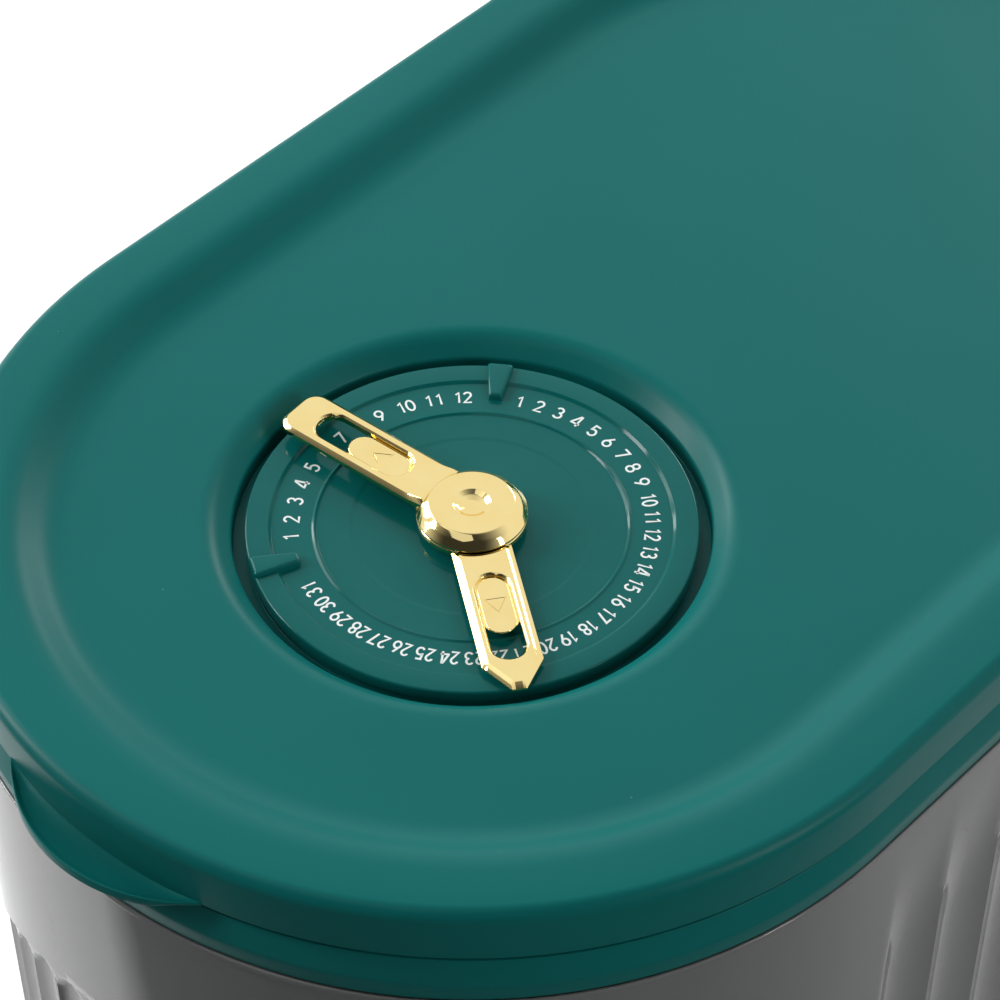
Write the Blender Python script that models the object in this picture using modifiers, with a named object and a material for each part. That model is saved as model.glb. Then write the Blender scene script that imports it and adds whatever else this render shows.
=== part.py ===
"""Flip-lid rice storage bin with a month-and-day dial.

Metres, +Z up, the front with its finger tab towards -Y. The plan of every ring and shell is a
stadium: a half circle round the dial axis, straight sides, and a half circle at the hinge end.
"""

import math

import bmesh
import bpy
from mathutils import Matrix

# Clearances
CLEAR = 0.0003  # between pieces that touch
ROUND_CLEAR = 0.0006  # between large round walls, whose facets need more room
SEAM = 0.0005  # the dark lines above and below the collar

# Plan
STRAIGHT = 0.1220  # length of the straight sides
ARC_STEPS = 20  # facets of each half circle
TURN_STEPS = 28  # facets of a large turned piece
SMALL_STEPS = 14  # facets of a small turned piece
SCREW_STEPS = 8

# Tub
FOOT_STAND = 0.0012  # how far the pads hold the tub off the table
TUB_HEIGHT = 0.2300
TUB_TOP_RADIUS = 0.1010  # half width just under the bead; the rings above follow it
TUB_BASE_RADIUS = TUB_TOP_RADIUS - 0.0034
TUB_WALL = 0.0020  # left behind the deepest flute
TUB_FLOOR = 0.0032
TUB_CORNER = 0.0060
NECK_RADIUS = TUB_TOP_RADIUS - 0.0021
BEAD_HEIGHT = 0.0020
BEAD_REACH = 0.0006  # beyond the wall

# Fluted panels of the tub
PANEL_RECESS = 0.0010
FLUTE_DEPTH = 0.0016
PANEL_TOP_DROP = 0.0440  # from the bead's top to the panels' top edge
PANEL_FOOT = 0.0180  # from the base to the panels' lower edge
END_FLUTES = 12
END_FLUTE_ANGLE = math.radians(6.7)
END_ARCH_DROP = 0.0380  # how much lower the end panels' top edge is at their sides
SIDE_FLUTES = 6
SIDE_FLUTE_WIDTH = 0.0176
FLUTE_END = 0.0070  # length over which a flute fades out
PILLAR_STEPS = 4

# Foot pads
PAD_RADIUS = 0.0090
PAD_THICKNESS = 0.0024
PAD_CIRCLE = TUB_BASE_RADIUS - 0.0210  # about the centres of the half circles
PAD_ANGLE = math.radians(36.0)  # up from the width

# Collar and its seal
SEAL_THICKNESS = 0.0020
SEAL_WIDTH = 0.0035
COLLAR_TOP_THICKNESS = 0.0022
COLLAR_DEPTH = 0.0111
COLLAR_WALL = 0.0017  # outside the neck, at the top
COLLAR_TOP_RADIUS = NECK_RADIUS + ROUND_CLEAR + COLLAR_WALL
COLLAR_LOW_RADIUS = COLLAR_TOP_RADIUS + 0.0007
COLLAR_STRIP = 0.0020  # height of the lip round its lower edge
COLLAR_LIP = 0.00025  # how far the lip stands out
COLLAR_PLUG_WALL = 0.0022
COLLAR_PLUG_DEPTH = 0.0078
COLLAR_PLUG_RADIUS = NECK_RADIUS - SEAL_WIDTH - CLEAR  # outside of the plug wall
COLLAR_LEDGE = 0.0089  # inside the plug wall, where the gasket lands
COLLAR_MOUTH = COLLAR_PLUG_RADIUS - COLLAR_PLUG_WALL - COLLAR_LEDGE

# Lid shell
SKIRT_LOW_RADIUS = COLLAR_TOP_RADIUS - CLEAR / 3
LID_RADIUS = SKIRT_LOW_RADIUS + 0.0009
SKIRT_WALL = 0.0020
LID_WALL = 0.0024
PLATEAU_RISE = 0.0085  # plateau above the skirt's lower edge
RIM_RISE = 0.0047  # rim above the plateau
RIM_EDGE = 0.0022  # radius of the rim's outer edge
RIM_INNER_EDGE = 0.0010
BAND_OUTER = LID_RADIUS - 0.0112
BAND_INNER = BAND_OUTER - 0.0125

# Dial well
DIAL_DROP = 0.0030  # dial face below the plateau
WELL_FLOOR = 0.0022
WELL_RADIUS = 0.0466
WELL_MOUTH = 0.0490
WELL_LIP = 0.0028  # rounded lip outside the mouth
WELL_WALL = 0.0020

# Finger tab
TAB_HALF_WIDTH = 0.0250
TAB_REACH = LID_RADIUS + 0.0065  # from the dial axis to the tab's front edge
TAB_RISE = 0.0008  # its rim above the skirt's lower edge
TAB_OVERHANG = 0.0014  # its underside below the skirt's lower edge, past the collar
TAB_STEP_START = 0.0020  # how far out its underside starts to drop
TAB_STEP_RUN = 0.0028  # and over what length it drops
TAB_DISH = 0.0007
TAB_RIM = 0.0009
TAB_TIP_SHARE = 0.06  # part of the rim's and the dish's size that is left at the tips
TAB_STEPS = 16

# Dial disc
DIAL_RADIUS = 0.0440
DIAL_THICKNESS = 0.0026
DIAL_RING_INNER = 0.0392
DIAL_RING_STEP = 0.00055
DIAL_RIDGE_RADIUS = 0.0306
DIAL_FIELD_DROP = 0.0007
DIAL_BOSS_RADIUS = 0.0078
DIAL_BOSS_RISE = 0.0007
WEDGE_ANGLES = (math.radians(125.0), math.radians(-121.0))
WEDGE_TIP = 0.0345
WEDGE_HALF_WIDTH = 0.0027
WEDGE_TIP_HALF_WIDTH = 0.0013
WEDGE_RISE = 0.0010
PEG_RADIUS = 0.0020
PEG_CIRCLE = 0.0300
PEG_HEAD = 0.0028
PEG_HEAD_THICKNESS = 0.0008

# Hands
HUB_RADIUS = 0.0108
HUB_SHOULDER = 0.0025
SHAFT_RADIUS = 0.0028
WASHER_RADIUS = 0.0070
WASHER_THICKNESS = 0.00025
DAY_RING_THICKNESS = 0.0013
DAY_ARM_THICKNESS = 0.0011
DAY_ANGLE = math.radians(-36.1)
DAY_HALF_WIDTH = 0.0059
DAY_SHOULDER = 0.0388
DAY_TIP = 0.0454
DAY_TIP_HALF_WIDTH = 0.0015
DAY_WINDOW = (0.0164, 0.0381, 0.0034)  # start, end, half width
DAY_PAD_END = 0.0311
DAY_PAD_DROP = 0.0006
DAY_CHAMFER = 0.0004
MONTH_THICKNESS = 0.0027
MONTH_ARM_DROP = 0.0010
MONTH_ARM_THICKNESS = 0.0016
MONTH_ANGLE = math.radians(184.0)
MONTH_HALF_WIDTH = 0.0059
MONTH_LENGTH = 0.0450
MONTH_CORNER = 0.0034
MONTH_WINDOW = (0.0158, 0.0384, 0.0035)
MONTH_PAD_END = 0.0302
MONTH_PAD_DROP = 0.0009
MONTH_CHAMFER = 0.0006
RING_CHAMFER = 0.0004
DIMPLE_RADIUS = 0.0036
DIMPLE_DEPTH = 0.0008

# Screws and the hub washer
SCREW_RADIUS = 0.0012
SCREW_HEAD_RADIUS = 0.0029
SCREW_HEAD = 0.0013
HUB_SCREW_LENGTH = 0.0062
HUB_WASHER_RADIUS = 0.0060
HUB_WASHER_THICKNESS = 0.0008
LINER_SCREW_LENGTH = 0.0080
BOSS_RADIUS = 0.0038
BOSS_SIDE = BAND_INNER - 0.0153
BOSS_END = 0.0120  # beyond the centres of the half circles

# Lid liner and gasket
LINER_DEPTH = 0.0045  # liner's underside below the skirt's lower edge
LINER_PLATE = 0.0018
LINER_RADIUS = COLLAR_MOUTH - 0.0025
LINER_WALL = 0.0020
GASKET_RADIUS = LINER_RADIUS + 0.0065
GASKET_THICKNESS = 0.0030
LINER_FLANGE = GASKET_RADIUS + 0.0030
LINER_FLANGE_THICKNESS = 0.0018

# Freshness box under the liner
BOX_FROM_REAR = 0.0220  # box axis, in front of the rear half circle's centre
BOX_RADIUS = 0.0320
BOX_WALL = 0.0020
BOX_DEPTH = 0.0070
CAP_WALL = 0.0018
CAP_PLATE = 0.0019
CAP_FLANGE = 0.0010  # beyond the box's wall
CAP_WALL_HEIGHT = 0.0060
CAP_SLOTS = 8
CAP_SLOT = (0.0080, 0.0240, 0.0022)  # start, end, width
SACHET_RADIUS = 0.0250
SACHET_THICKNESS = 0.0052

# Hinge
HINGE_RADIUS = 0.0040
HINGE_GAP = 0.0006  # between the lid's outline and the barrel
BARREL_HALF_WIDTH = 0.0175
LUG_WIDTH = 0.0090
LUG_GAP = 0.0005
LUG_SHOULDER = 0.0052  # height above the pin of the square shoulder that stops the lid
PIN_RADIUS = 0.0015
PIN_HEAD_RADIUS = 0.0026
PIN_HEAD = 0.0012

# Levels, from the table up
TUB_BASE_Z = FOOT_STAND
TUB_RIM_Z = TUB_BASE_Z + TUB_HEIGHT
SEAL_Z = TUB_RIM_Z + CLEAR
COLLAR_UNDER_Z = SEAL_Z + SEAL_THICKNESS + CLEAR
COLLAR_TOP_Z = COLLAR_UNDER_Z + COLLAR_TOP_THICKNESS
COLLAR_LOW_Z = COLLAR_TOP_Z - COLLAR_DEPTH
BEAD_TOP_Z = COLLAR_LOW_Z - SEAM
SKIRT_Z = COLLAR_TOP_Z + SEAM
PLATEAU_Z = SKIRT_Z + PLATEAU_RISE
RIM_Z = PLATEAU_Z + RIM_RISE
DIAL_Z = PLATEAU_Z - DIAL_DROP
WELL_FLOOR_Z = DIAL_Z - DIAL_THICKNESS - CLEAR
WELL_UNDER_Z = WELL_FLOOR_Z - WELL_FLOOR
DIAL_BOSS_Z = DIAL_Z + DIAL_BOSS_RISE
DAY_RING_Z = DIAL_BOSS_Z + CLEAR
DAY_TOP_Z = DAY_RING_Z + DAY_RING_THICKNESS
DAY_ARM_Z = DAY_TOP_Z - DAY_ARM_THICKNESS
MONTH_Z = DAY_TOP_Z + CLEAR
MONTH_TOP_Z = MONTH_Z + MONTH_THICKNESS
MONTH_ARM_TOP_Z = MONTH_TOP_Z - MONTH_ARM_DROP
MONTH_ARM_Z = MONTH_ARM_TOP_Z - MONTH_ARM_THICKNESS
WASHER_POCKET = WASHER_THICKNESS + CLEAR
LINER_LOW_Z = SKIRT_Z - LINER_DEPTH
LINER_TOP_Z = LINER_LOW_Z + LINER_PLATE
GASKET_Z = COLLAR_TOP_Z + CLEAR
FLANGE_Z = GASKET_Z + GASKET_THICKNESS + CLEAR
BOX_LOW_Z = LINER_LOW_Z - BOX_DEPTH
CAP_PLATE_TOP_Z = BOX_LOW_Z - CLEAR
HINGE_Z = (SKIRT_Z + COLLAR_TOP_Z) / 2

# Places along the part, with the origin under the middle of its length
HINGE_BEYOND = LID_RADIUS + HINGE_GAP + HINGE_RADIUS  # hinge axis beyond the rear centre
FRONT_Y = (TAB_REACH - STRAIGHT - HINGE_BEYOND - HINGE_RADIUS) / 2  # the dial axis
REAR_Y = FRONT_Y + STRAIGHT
HINGE_Y = REAR_Y + HINGE_BEYOND
BOX_Y = REAR_Y - BOX_FROM_REAR


# Scene and materials


def clear_scene():
    """Remove every object of the open scene."""
    for old in list(bpy.data.objects):
        bpy.data.objects.remove(old, do_unlink=True)


def new_collection(name):
    """Return a new collection linked to the scene."""
    collection = bpy.data.collections.new(name)
    bpy.context.scene.collection.children.link(collection)
    return collection


def new_material(name, colour, roughness, metallic=0.0, alpha=1.0):
    """Return a Principled material; colour is linear red, green and blue."""
    material = bpy.data.materials.new(name)
    material.use_nodes = True
    shader = material.node_tree.nodes["Principled BSDF"]
    shader.inputs["Base Color"].default_value = (*colour, 1.0)
    shader.inputs["Roughness"].default_value = roughness
    shader.inputs["Metallic"].default_value = metallic
    shader.inputs["Alpha"].default_value = alpha
    material.diffuse_color = (*colour, alpha)
    return material


clear_scene()
PARTS = new_collection("rice_bin")
TOOLS = new_collection("rice_bin_cutters")
GREEN_SATIN = new_material("green_satin_plastic", (0.016, 0.130, 0.118), 0.42)
GREEN_GLOSS = new_material("green_gloss_plastic", (0.012, 0.105, 0.096), 0.12)
SMOKE = new_material("smoke_clear_plastic", (0.16, 0.165, 0.165), 0.08, alpha=0.6)
GOLD = new_material("gold_plated_plastic", (0.86, 0.66, 0.27), 0.10, metallic=1.0)
SILICONE = new_material("silicone", (0.62, 0.64, 0.63), 0.55)
STEEL = new_material("steel", (0.55, 0.55, 0.55), 0.28, metallic=1.0)
NYLON = new_material("nylon", (0.70, 0.70, 0.67), 0.45)
SACHET = new_material("sachet_paper", (0.80, 0.79, 0.74), 0.85)


# Building blocks


def add_object(name, mesh, material=None, place=(0.0, 0.0, 0.0), turn=0.0):
    """Link a mesh as a part, or as a cutter when it has no material."""
    part = bpy.data.objects.new(name, mesh)
    part.location = place
    part.rotation_euler = (0.0, 0.0, turn)
    if material is None:
        TOOLS.objects.link(part)
        part.hide_render = True
        part.display_type = "WIRE"
    else:
        PARTS.objects.link(part)
        mesh.materials.append(material)
    return part


def finish_mesh(name, shape):
    """Weld a bmesh, face it outwards and return it as a smooth-shaded mesh."""
    bmesh.ops.remove_doubles(shape, verts=shape.verts, dist=0.00001)
    bmesh.ops.recalc_face_normals(shape, faces=shape.faces)
    for face in shape.faces:
        face.smooth = True
    mesh = bpy.data.meshes.new(name)
    shape.to_mesh(mesh)
    shape.free()
    return mesh


def stadium_solid(name, profile, material=None, closed=False):
    """Carry a profile of (half width, height) points once round the stadium.

    An open profile starts and ends on the spine, where the half width is zero. A closed one is
    the section of a ring.
    """
    shape = bmesh.new()
    points = [shape.verts.new((reach, REAR_Y, height)) for reach, height in profile]
    pairs = list(zip(points, points[1:]))
    if closed:
        pairs.append((points[-1], points[0]))
    edges = [shape.edges.new(pair) for pair in pairs]
    for centre, run in ((REAR_Y, -STRAIGHT), (FRONT_Y, STRAIGHT)):
        turned_end = bmesh.ops.spin(
            shape,
            geom=points + edges,
            cent=(0.0, centre, 0.0),
            axis=(0.0, 0.0, 1.0),
            angle=math.pi,
            steps=ARC_STEPS,
        )["geom_last"]
        side = [item for item in turned_end if isinstance(item, bmesh.types.BMEdge)]
        drawn = bmesh.ops.extrude_edge_only(shape, edges=side)["geom"]
        points = [item for item in drawn if isinstance(item, bmesh.types.BMVert)]
        bmesh.ops.translate(shape, vec=(0.0, run, 0.0), verts=points)
        moved = set(points)
        edges = [
            item
            for item in drawn
            if isinstance(item, bmesh.types.BMEdge) and moved.issuperset(item.verts)
        ]
    return add_object(name, finish_mesh(name, shape), material)


def turned(name, profile, material=None, place=(0.0, 0.0, 0.0), closed=False, steps=TURN_STEPS):
    """Turn a profile of (radius, height) points round a vertical axis with a Screw modifier."""
    shape = bmesh.new()
    points = [shape.verts.new((radius, 0.0, height)) for radius, height in profile]
    for pair in zip(points, points[1:]):
        shape.edges.new(pair)
    if closed:
        shape.edges.new((points[-1], points[0]))
    mesh = bpy.data.meshes.new(name)
    shape.to_mesh(mesh)
    shape.free()
    part = add_object(name, mesh, material, place)
    screw = part.modifiers.new("turn", "SCREW")
    screw.steps = steps
    screw.render_steps = steps
    screw.use_merge_vertices = True
    screw.merge_threshold = 0.00001
    screw.use_normal_calculate = not closed
    screw.use_smooth_shade = True
    return part


def baked_mesh(part):
    """Return the evaluated mesh of an object, welded."""
    graph = bpy.context.evaluated_depsgraph_get()
    mesh = bpy.data.meshes.new_from_object(part.evaluated_get(graph))
    shape = bmesh.new()
    shape.from_mesh(mesh)
    bpy.data.meshes.remove(mesh)
    return shape


def plate(name, loops, low, high, material=None, place=(0.0, 0.0), turn=0.0, chamfer=0.0):
    """Fill flat outlines and give them a thickness; every loop after the first is a hole."""
    data = bpy.data.curves.new(name, "CURVE")
    data.dimensions = "2D"
    data.fill_mode = "BOTH"
    data.extrude = (high - low) / 2 - chamfer
    data.bevel_depth = chamfer
    data.bevel_resolution = 0
    data.offset = -chamfer
    for loop in loops:
        spline = data.splines.new("POLY")
        spline.points.add(len(loop) - 1)
        spline.use_cyclic_u = True
        for point, (across, along) in zip(spline.points, loop):
            point.co = (across, along, 0.0, 1.0)
    curve = bpy.data.objects.new(name, data)
    TOOLS.objects.link(curve)
    mesh = finish_mesh(name, baked_mesh(curve))
    bpy.data.objects.remove(curve, do_unlink=True)
    return add_object(name, mesh, material, (*place, (low + high) / 2), turn)


def pillars(name, places, radius, low, high, material=None, steps=SMALL_STEPS):
    """Upright cylinders of one size at several (x, y) places, as one mesh."""
    shape = bmesh.new()
    for x, y in places:
        bmesh.ops.create_cone(
            shape,
            cap_ends=True,
            segments=steps,
            radius1=radius,
            radius2=radius,
            depth=high - low,
            matrix=Matrix.Translation((x, y, (low + high) / 2)),
        )
    return add_object(name, finish_mesh(name, shape), material)


def cross_rods(name, spans, radius, material=None, steps=SMALL_STEPS):
    """Cylinders along X on the hinge axis, one for each (low x, high x) span."""
    shape = bmesh.new()
    quarter = Matrix.Rotation(math.pi / 2, 4, "Y")
    for low, high in spans:
        bmesh.ops.create_cone(
            shape,
            cap_ends=True,
            segments=steps,
            radius1=radius,
            radius2=radius,
            depth=high - low,
            matrix=Matrix.Translation(((low + high) / 2, HINGE_Y, HINGE_Z)) @ quarter,
        )
    return add_object(name, finish_mesh(name, shape), material)


def side_plate(name, outline, low, high):
    """A cutter between two x positions, its outline given as (y, z) points."""
    part = plate(name, [outline], low, high)
    part.location = ((low + high) / 2, 0.0, 0.0)
    part.rotation_euler = (math.pi / 2, 0.0, math.pi / 2)
    return part


def combine(part, tool, operation):
    """Add an exact Boolean of a cutter to a part."""
    step = part.modifiers.new(tool.name, "BOOLEAN")
    step.operation = operation
    step.solver = "EXACT"
    step.object = tool


def arc(centre, radius, start, end, steps):
    """Points of a flat arc about centre, both ends included; angles are in radians."""
    turn = (end - start) / steps
    return [
        (
            centre[0] + radius * math.cos(start + turn * step),
            centre[1] + radius * math.sin(start + turn * step),
        )
        for step in range(steps + 1)
    ]


def slot_outline(start, end, half_width, steps=6):
    """A slot along X with round ends."""
    quarter = math.pi / 2
    near = arc((start + half_width, 0.0), half_width, quarter, 3 * quarter, steps)
    far = arc((end - half_width, 0.0), half_width, -quarter, quarter, steps)
    return near + far


def smooth_step(share):
    """Ease from 0 to 1 with level ends."""
    return share * share * (3.0 - 2.0 * share)


# Tub


def tub_radius(height):
    """Half width of the tub's plain wall at a height."""
    wall_top = BEAD_TOP_Z - BEAD_HEIGHT
    share = (height - TUB_BASE_Z) / (wall_top - TUB_BASE_Z)
    return TUB_BASE_RADIUS + (TUB_TOP_RADIUS - TUB_BASE_RADIUS) * share


def flute_hollow(step):
    """Depth share across a flute in quarter steps, nought at the sharp edge between two."""
    return (0.0, 0.75, 1.0, 0.75)[step % 4]


def end_columns(centre_y, middle):
    """Columns of one half circle: a fluted panel about the angle middle, plain on both sides."""
    half_panel = END_FLUTES * END_FLUTE_ANGLE / 2
    steps = END_FLUTES * 4
    edge = END_FLUTE_ANGLE / 16
    pillar = math.pi / 2 - half_panel - edge
    columns = []
    for step in range(PILLAR_STEPS):
        angle = middle - math.pi / 2 + pillar * step / PILLAR_STEPS
        columns.append((centre_y, angle, 0.0, 0.0, END_ARCH_DROP))
    columns.append((centre_y, middle - half_panel - edge, 0.0, 0.0, END_ARCH_DROP))
    for step in range(steps + 1):
        share = 2.0 * step / steps - 1.0
        drop = END_ARCH_DROP * share * share
        columns.append((centre_y, middle + half_panel * share, 1.0, flute_hollow(step), drop))
    columns.append((centre_y, middle + half_panel + edge, 0.0, 0.0, END_ARCH_DROP))
    for step in range(1, PILLAR_STEPS):
        angle = middle + half_panel + edge + pillar * step / PILLAR_STEPS
        columns.append((centre_y, angle, 0.0, 0.0, END_ARCH_DROP))
    return columns


def side_columns(angle, start_y, direction):
    """Columns of one straight side, walked from start_y in the given direction."""
    steps = SIDE_FLUTES * 4
    margin = (STRAIGHT - SIDE_FLUTES * SIDE_FLUTE_WIDTH) / 2
    edge = SIDE_FLUTE_WIDTH / 16
    columns = [(start_y, angle, 0.0, 0.0, 0.0)]
    columns.append((start_y + direction * (margin - edge), angle, 0.0, 0.0, 0.0))
    for step in range(steps + 1):
        along = margin + SIDE_FLUTE_WIDTH * step / 4
        columns.append((start_y + direction * along, angle, 1.0, flute_hollow(step), 0.0))
    columns.append((start_y + direction * (STRAIGHT - margin + edge), angle, 0.0, 0.0, 0.0))
    return columns


def tub_rows(panel, hollow, drop):
    """(half width, height) of one column of the tub's outside, from the rim to the base."""
    wall_top = BEAD_TOP_Z - BEAD_HEIGHT
    top = BEAD_TOP_Z - PANEL_TOP_DROP - drop
    foot = TUB_BASE_Z + PANEL_FOOT
    fade = ((0.0, 0.0, 0.0), (FLUTE_END / 6, 1.0, 0.3), (FLUTE_END, 1.0, 1.0))
    run_out = ((FLUTE_END, 1.0, 1.0), (0.0, 0.0, 0.0))
    rows = [
        (NECK_RADIUS, TUB_RIM_Z),
        (NECK_RADIUS, BEAD_TOP_Z),
        (TUB_TOP_RADIUS + BEAD_REACH, BEAD_TOP_Z),
        (TUB_TOP_RADIUS + BEAD_REACH, wall_top + BEAD_REACH),
        (TUB_TOP_RADIUS, wall_top),
    ]
    for below, sunk, hollowed in fade:
        depth = panel * (PANEL_RECESS * sunk + FLUTE_DEPTH * hollow * hollowed)
        rows.append((tub_radius(top - below) - depth, top - below))
    for above, sunk, hollowed in run_out:
        depth = panel * (PANEL_RECESS * sunk + FLUTE_DEPTH * hollow * hollowed)
        rows.append((tub_radius(foot + above) - depth, foot + above))
    corner_z = TUB_BASE_Z + TUB_CORNER
    rows.append((tub_radius(corner_z), corner_z))
    rows.append((tub_radius(TUB_BASE_Z) - TUB_CORNER / 3, TUB_BASE_Z + TUB_CORNER / 4))
    rows.append((tub_radius(TUB_BASE_Z) - TUB_CORNER, TUB_BASE_Z))
    return rows


def tub_outside():
    """Loft the tub's fluted outside as one closed solid."""
    columns = end_columns(REAR_Y, math.pi / 2)
    columns += side_columns(math.pi, REAR_Y, -1.0)
    columns += end_columns(FRONT_Y, 3 * math.pi / 2)
    columns += side_columns(2 * math.pi, FRONT_Y, 1.0)
    shape = bmesh.new()
    grid = []
    for centre_y, angle, panel, hollow, drop in columns:
        grid.append(
            [
                shape.verts.new(
                    (reach * math.cos(angle), centre_y + reach * math.sin(angle), height)
                )
                for reach, height in tub_rows(panel, hollow, drop)
            ]
        )
    for left, right in zip(grid, grid[1:] + grid[:1]):
        for row in range(len(left) - 1):
            shape.faces.new((left[row], left[row + 1], right[row + 1], right[row]))
    shape.faces.new([column[0] for column in grid])
    shape.faces.new([column[-1] for column in reversed(grid)])
    return shape


def pad_places():
    """Centres of the four foot pads."""
    side = PAD_CIRCLE * math.cos(PAD_ANGLE)
    end = PAD_CIRCLE * math.sin(PAD_ANGLE)
    return {
        "foot_pad_front_left": (-side, FRONT_Y - end),
        "foot_pad_front_right": (side, FRONT_Y - end),
        "foot_pad_rear_left": (-side, REAR_Y + end),
        "foot_pad_rear_right": (side, REAR_Y + end),
    }


def make_tub():
    """Translucent tub: fluted outside, plain drafted inside, recesses for the pads."""
    tub = add_object("tub", finish_mesh("tub", tub_outside()), SMOKE)
    inset = PANEL_RECESS + FLUTE_DEPTH + TUB_WALL
    floor_z = TUB_BASE_Z + TUB_FLOOR
    floor_radius = tub_radius(floor_z) - inset
    above = TUB_RIM_Z + TUB_FLOOR
    inside = stadium_solid(
        "tub_inside",
        [
            (0.0, floor_z),
            (floor_radius - TUB_CORNER, floor_z),
            (floor_radius - TUB_CORNER * 0.3, floor_z + TUB_CORNER * 0.3),
            (tub_radius(floor_z + TUB_CORNER) - inset, floor_z + TUB_CORNER),
            (tub_radius(above) - inset, above),
            (0.0, above),
        ],
    )
    combine(tub, inside, "DIFFERENCE")
    pocket_top = PAD_THICKNESS + CLEAR
    places = pad_places().values()
    pockets = pillars("tub_pad_pockets", places, PAD_RADIUS + CLEAR, -PAD_THICKNESS, pocket_top)
    combine(tub, pockets, "DIFFERENCE")


def make_foot_pads():
    """Four silicone pads, each with a small chamfer at the table."""
    chamfer = PAD_THICKNESS / 6
    for name, (x, y) in pad_places().items():
        profile = [
            (0.0, PAD_THICKNESS),
            (PAD_RADIUS, PAD_THICKNESS),
            (PAD_RADIUS, chamfer),
            (PAD_RADIUS - chamfer, 0.0),
            (0.0, 0.0),
        ]
        turned(name, profile, SILICONE, (x, y, 0.0), steps=SMALL_STEPS)


# Collar and seal


def hinge_lug_spans():
    """The (low x, high x) spans of the collar's two lugs."""
    inner = BARREL_HALF_WIDTH + LUG_GAP
    outer = inner + LUG_WIDTH
    return ((-outer, -inner), (inner, outer))


def lug_outline(outer_x):
    """A lug as (y, z): a round eye with a square shoulder behind that stops the open lid."""
    quarter = math.pi / 2
    centre = (HINGE_Y, HINGE_Z)
    root_y = REAR_Y + math.sqrt(COLLAR_TOP_RADIUS**2 - outer_x**2) - CLEAR
    low = arc(centre, HINGE_RADIUS, -quarter, 0.0, 5)
    front = arc(centre, HINGE_RADIUS, quarter, 2 * quarter, 5)
    shoulder_z = HINGE_Z + LUG_SHOULDER
    shoulder = [(HINGE_Y + HINGE_RADIUS, shoulder_z), (HINGE_Y, shoulder_z)]
    top_z = COLLAR_TOP_Z - CLEAR / 3
    root = [(HINGE_Y - HINGE_RADIUS, top_z), (root_y, top_z), (root_y, HINGE_Z - HINGE_RADIUS)]
    return low + shoulder + front + root


def make_collar():
    """Ring over the tub's mouth, with an inner skirt, and two lugs for the hinge pin."""
    plug_inner = COLLAR_PLUG_RADIUS - COLLAR_PLUG_WALL
    plug_z = COLLAR_UNDER_Z - COLLAR_PLUG_DEPTH
    wall_inner = NECK_RADIUS + ROUND_CLEAR
    collar = stadium_solid(
        "collar",
        [
            (COLLAR_LOW_RADIUS, COLLAR_LOW_Z),
            (COLLAR_LOW_RADIUS, COLLAR_LOW_Z + COLLAR_STRIP),
            (COLLAR_LOW_RADIUS - COLLAR_LIP, COLLAR_LOW_Z + COLLAR_STRIP + COLLAR_LIP),
            (COLLAR_TOP_RADIUS, COLLAR_TOP_Z),
            (COLLAR_MOUTH, COLLAR_TOP_Z),
            (COLLAR_MOUTH, COLLAR_UNDER_Z),
            (plug_inner, COLLAR_UNDER_Z),
            (plug_inner, plug_z),
            (COLLAR_PLUG_RADIUS, plug_z),
            (COLLAR_PLUG_RADIUS, COLLAR_UNDER_Z),
            (wall_inner, COLLAR_UNDER_Z),
            (wall_inner, COLLAR_LOW_Z),
        ],
        GREEN_SATIN,
        closed=True,
    )
    outer_x = BARREL_HALF_WIDTH + LUG_GAP + LUG_WIDTH
    for side, (low, high) in enumerate(hinge_lug_spans()):
        lug = side_plate(f"collar_lug_{side + 1}", lug_outline(outer_x), low, high)
        combine(collar, lug, "UNION")
    reach = outer_x + LUG_WIDTH
    bore = cross_rods("collar_pin_bore", [(-reach, reach)], PIN_RADIUS + CLEAR)
    combine(collar, bore, "DIFFERENCE")


def make_collar_seal():
    """Silicone ring on the tub's rim, inside the collar."""
    stadium_solid(
        "collar_seal",
        [
            (NECK_RADIUS, SEAL_Z),
            (NECK_RADIUS, SEAL_Z + SEAL_THICKNESS),
            (NECK_RADIUS - SEAL_WIDTH, SEAL_Z + SEAL_THICKNESS),
            (NECK_RADIUS - SEAL_WIDTH, SEAL_Z),
        ],
        SILICONE,
        closed=True,
    )


# Lid shell


def lid_section():
    """Closed-to-the-spine section of the lid: plateau, band, rim, rounded edge and skirt."""
    slope = ((0.0, 0.0), (0.14, 0.04), (0.28, 0.16), (0.72, 0.84), (0.86, 0.96), (1.0, 1.0))
    band = [
        (BAND_INNER + (BAND_OUTER - BAND_INNER) * across, PLATEAU_Z + RIM_RISE * up)
        for across, up in slope
    ]
    edge_centre = (LID_RADIUS - RIM_EDGE, RIM_Z - RIM_EDGE)
    edge = arc(edge_centre, RIM_EDGE, math.pi / 2, 0.0, 4)
    outside = [(0.0, PLATEAU_Z)] + band + edge + [(SKIRT_LOW_RADIUS, SKIRT_Z)]
    inner_centre = (LID_RADIUS - SKIRT_WALL - RIM_INNER_EDGE, RIM_Z - LID_WALL - RIM_INNER_EDGE)
    inside = [(SKIRT_LOW_RADIUS - SKIRT_WALL, SKIRT_Z)]
    inside += arc(inner_centre, RIM_INNER_EDGE, 0.0, math.pi / 2, 2)
    inside += [(BAND_OUTER, RIM_Z - LID_WALL), (BAND_INNER, PLATEAU_Z - LID_WALL)]
    return outside + inside + [(0.0, PLATEAU_Z - LID_WALL)]


def boss_places():
    """Centres of the six liner screws."""
    rows = (FRONT_Y - BOSS_END, (FRONT_Y + REAR_Y) / 2, REAR_Y + BOSS_END)
    return [(side, y) for y in rows for side in (-BOSS_SIDE, BOSS_SIDE)]


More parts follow.
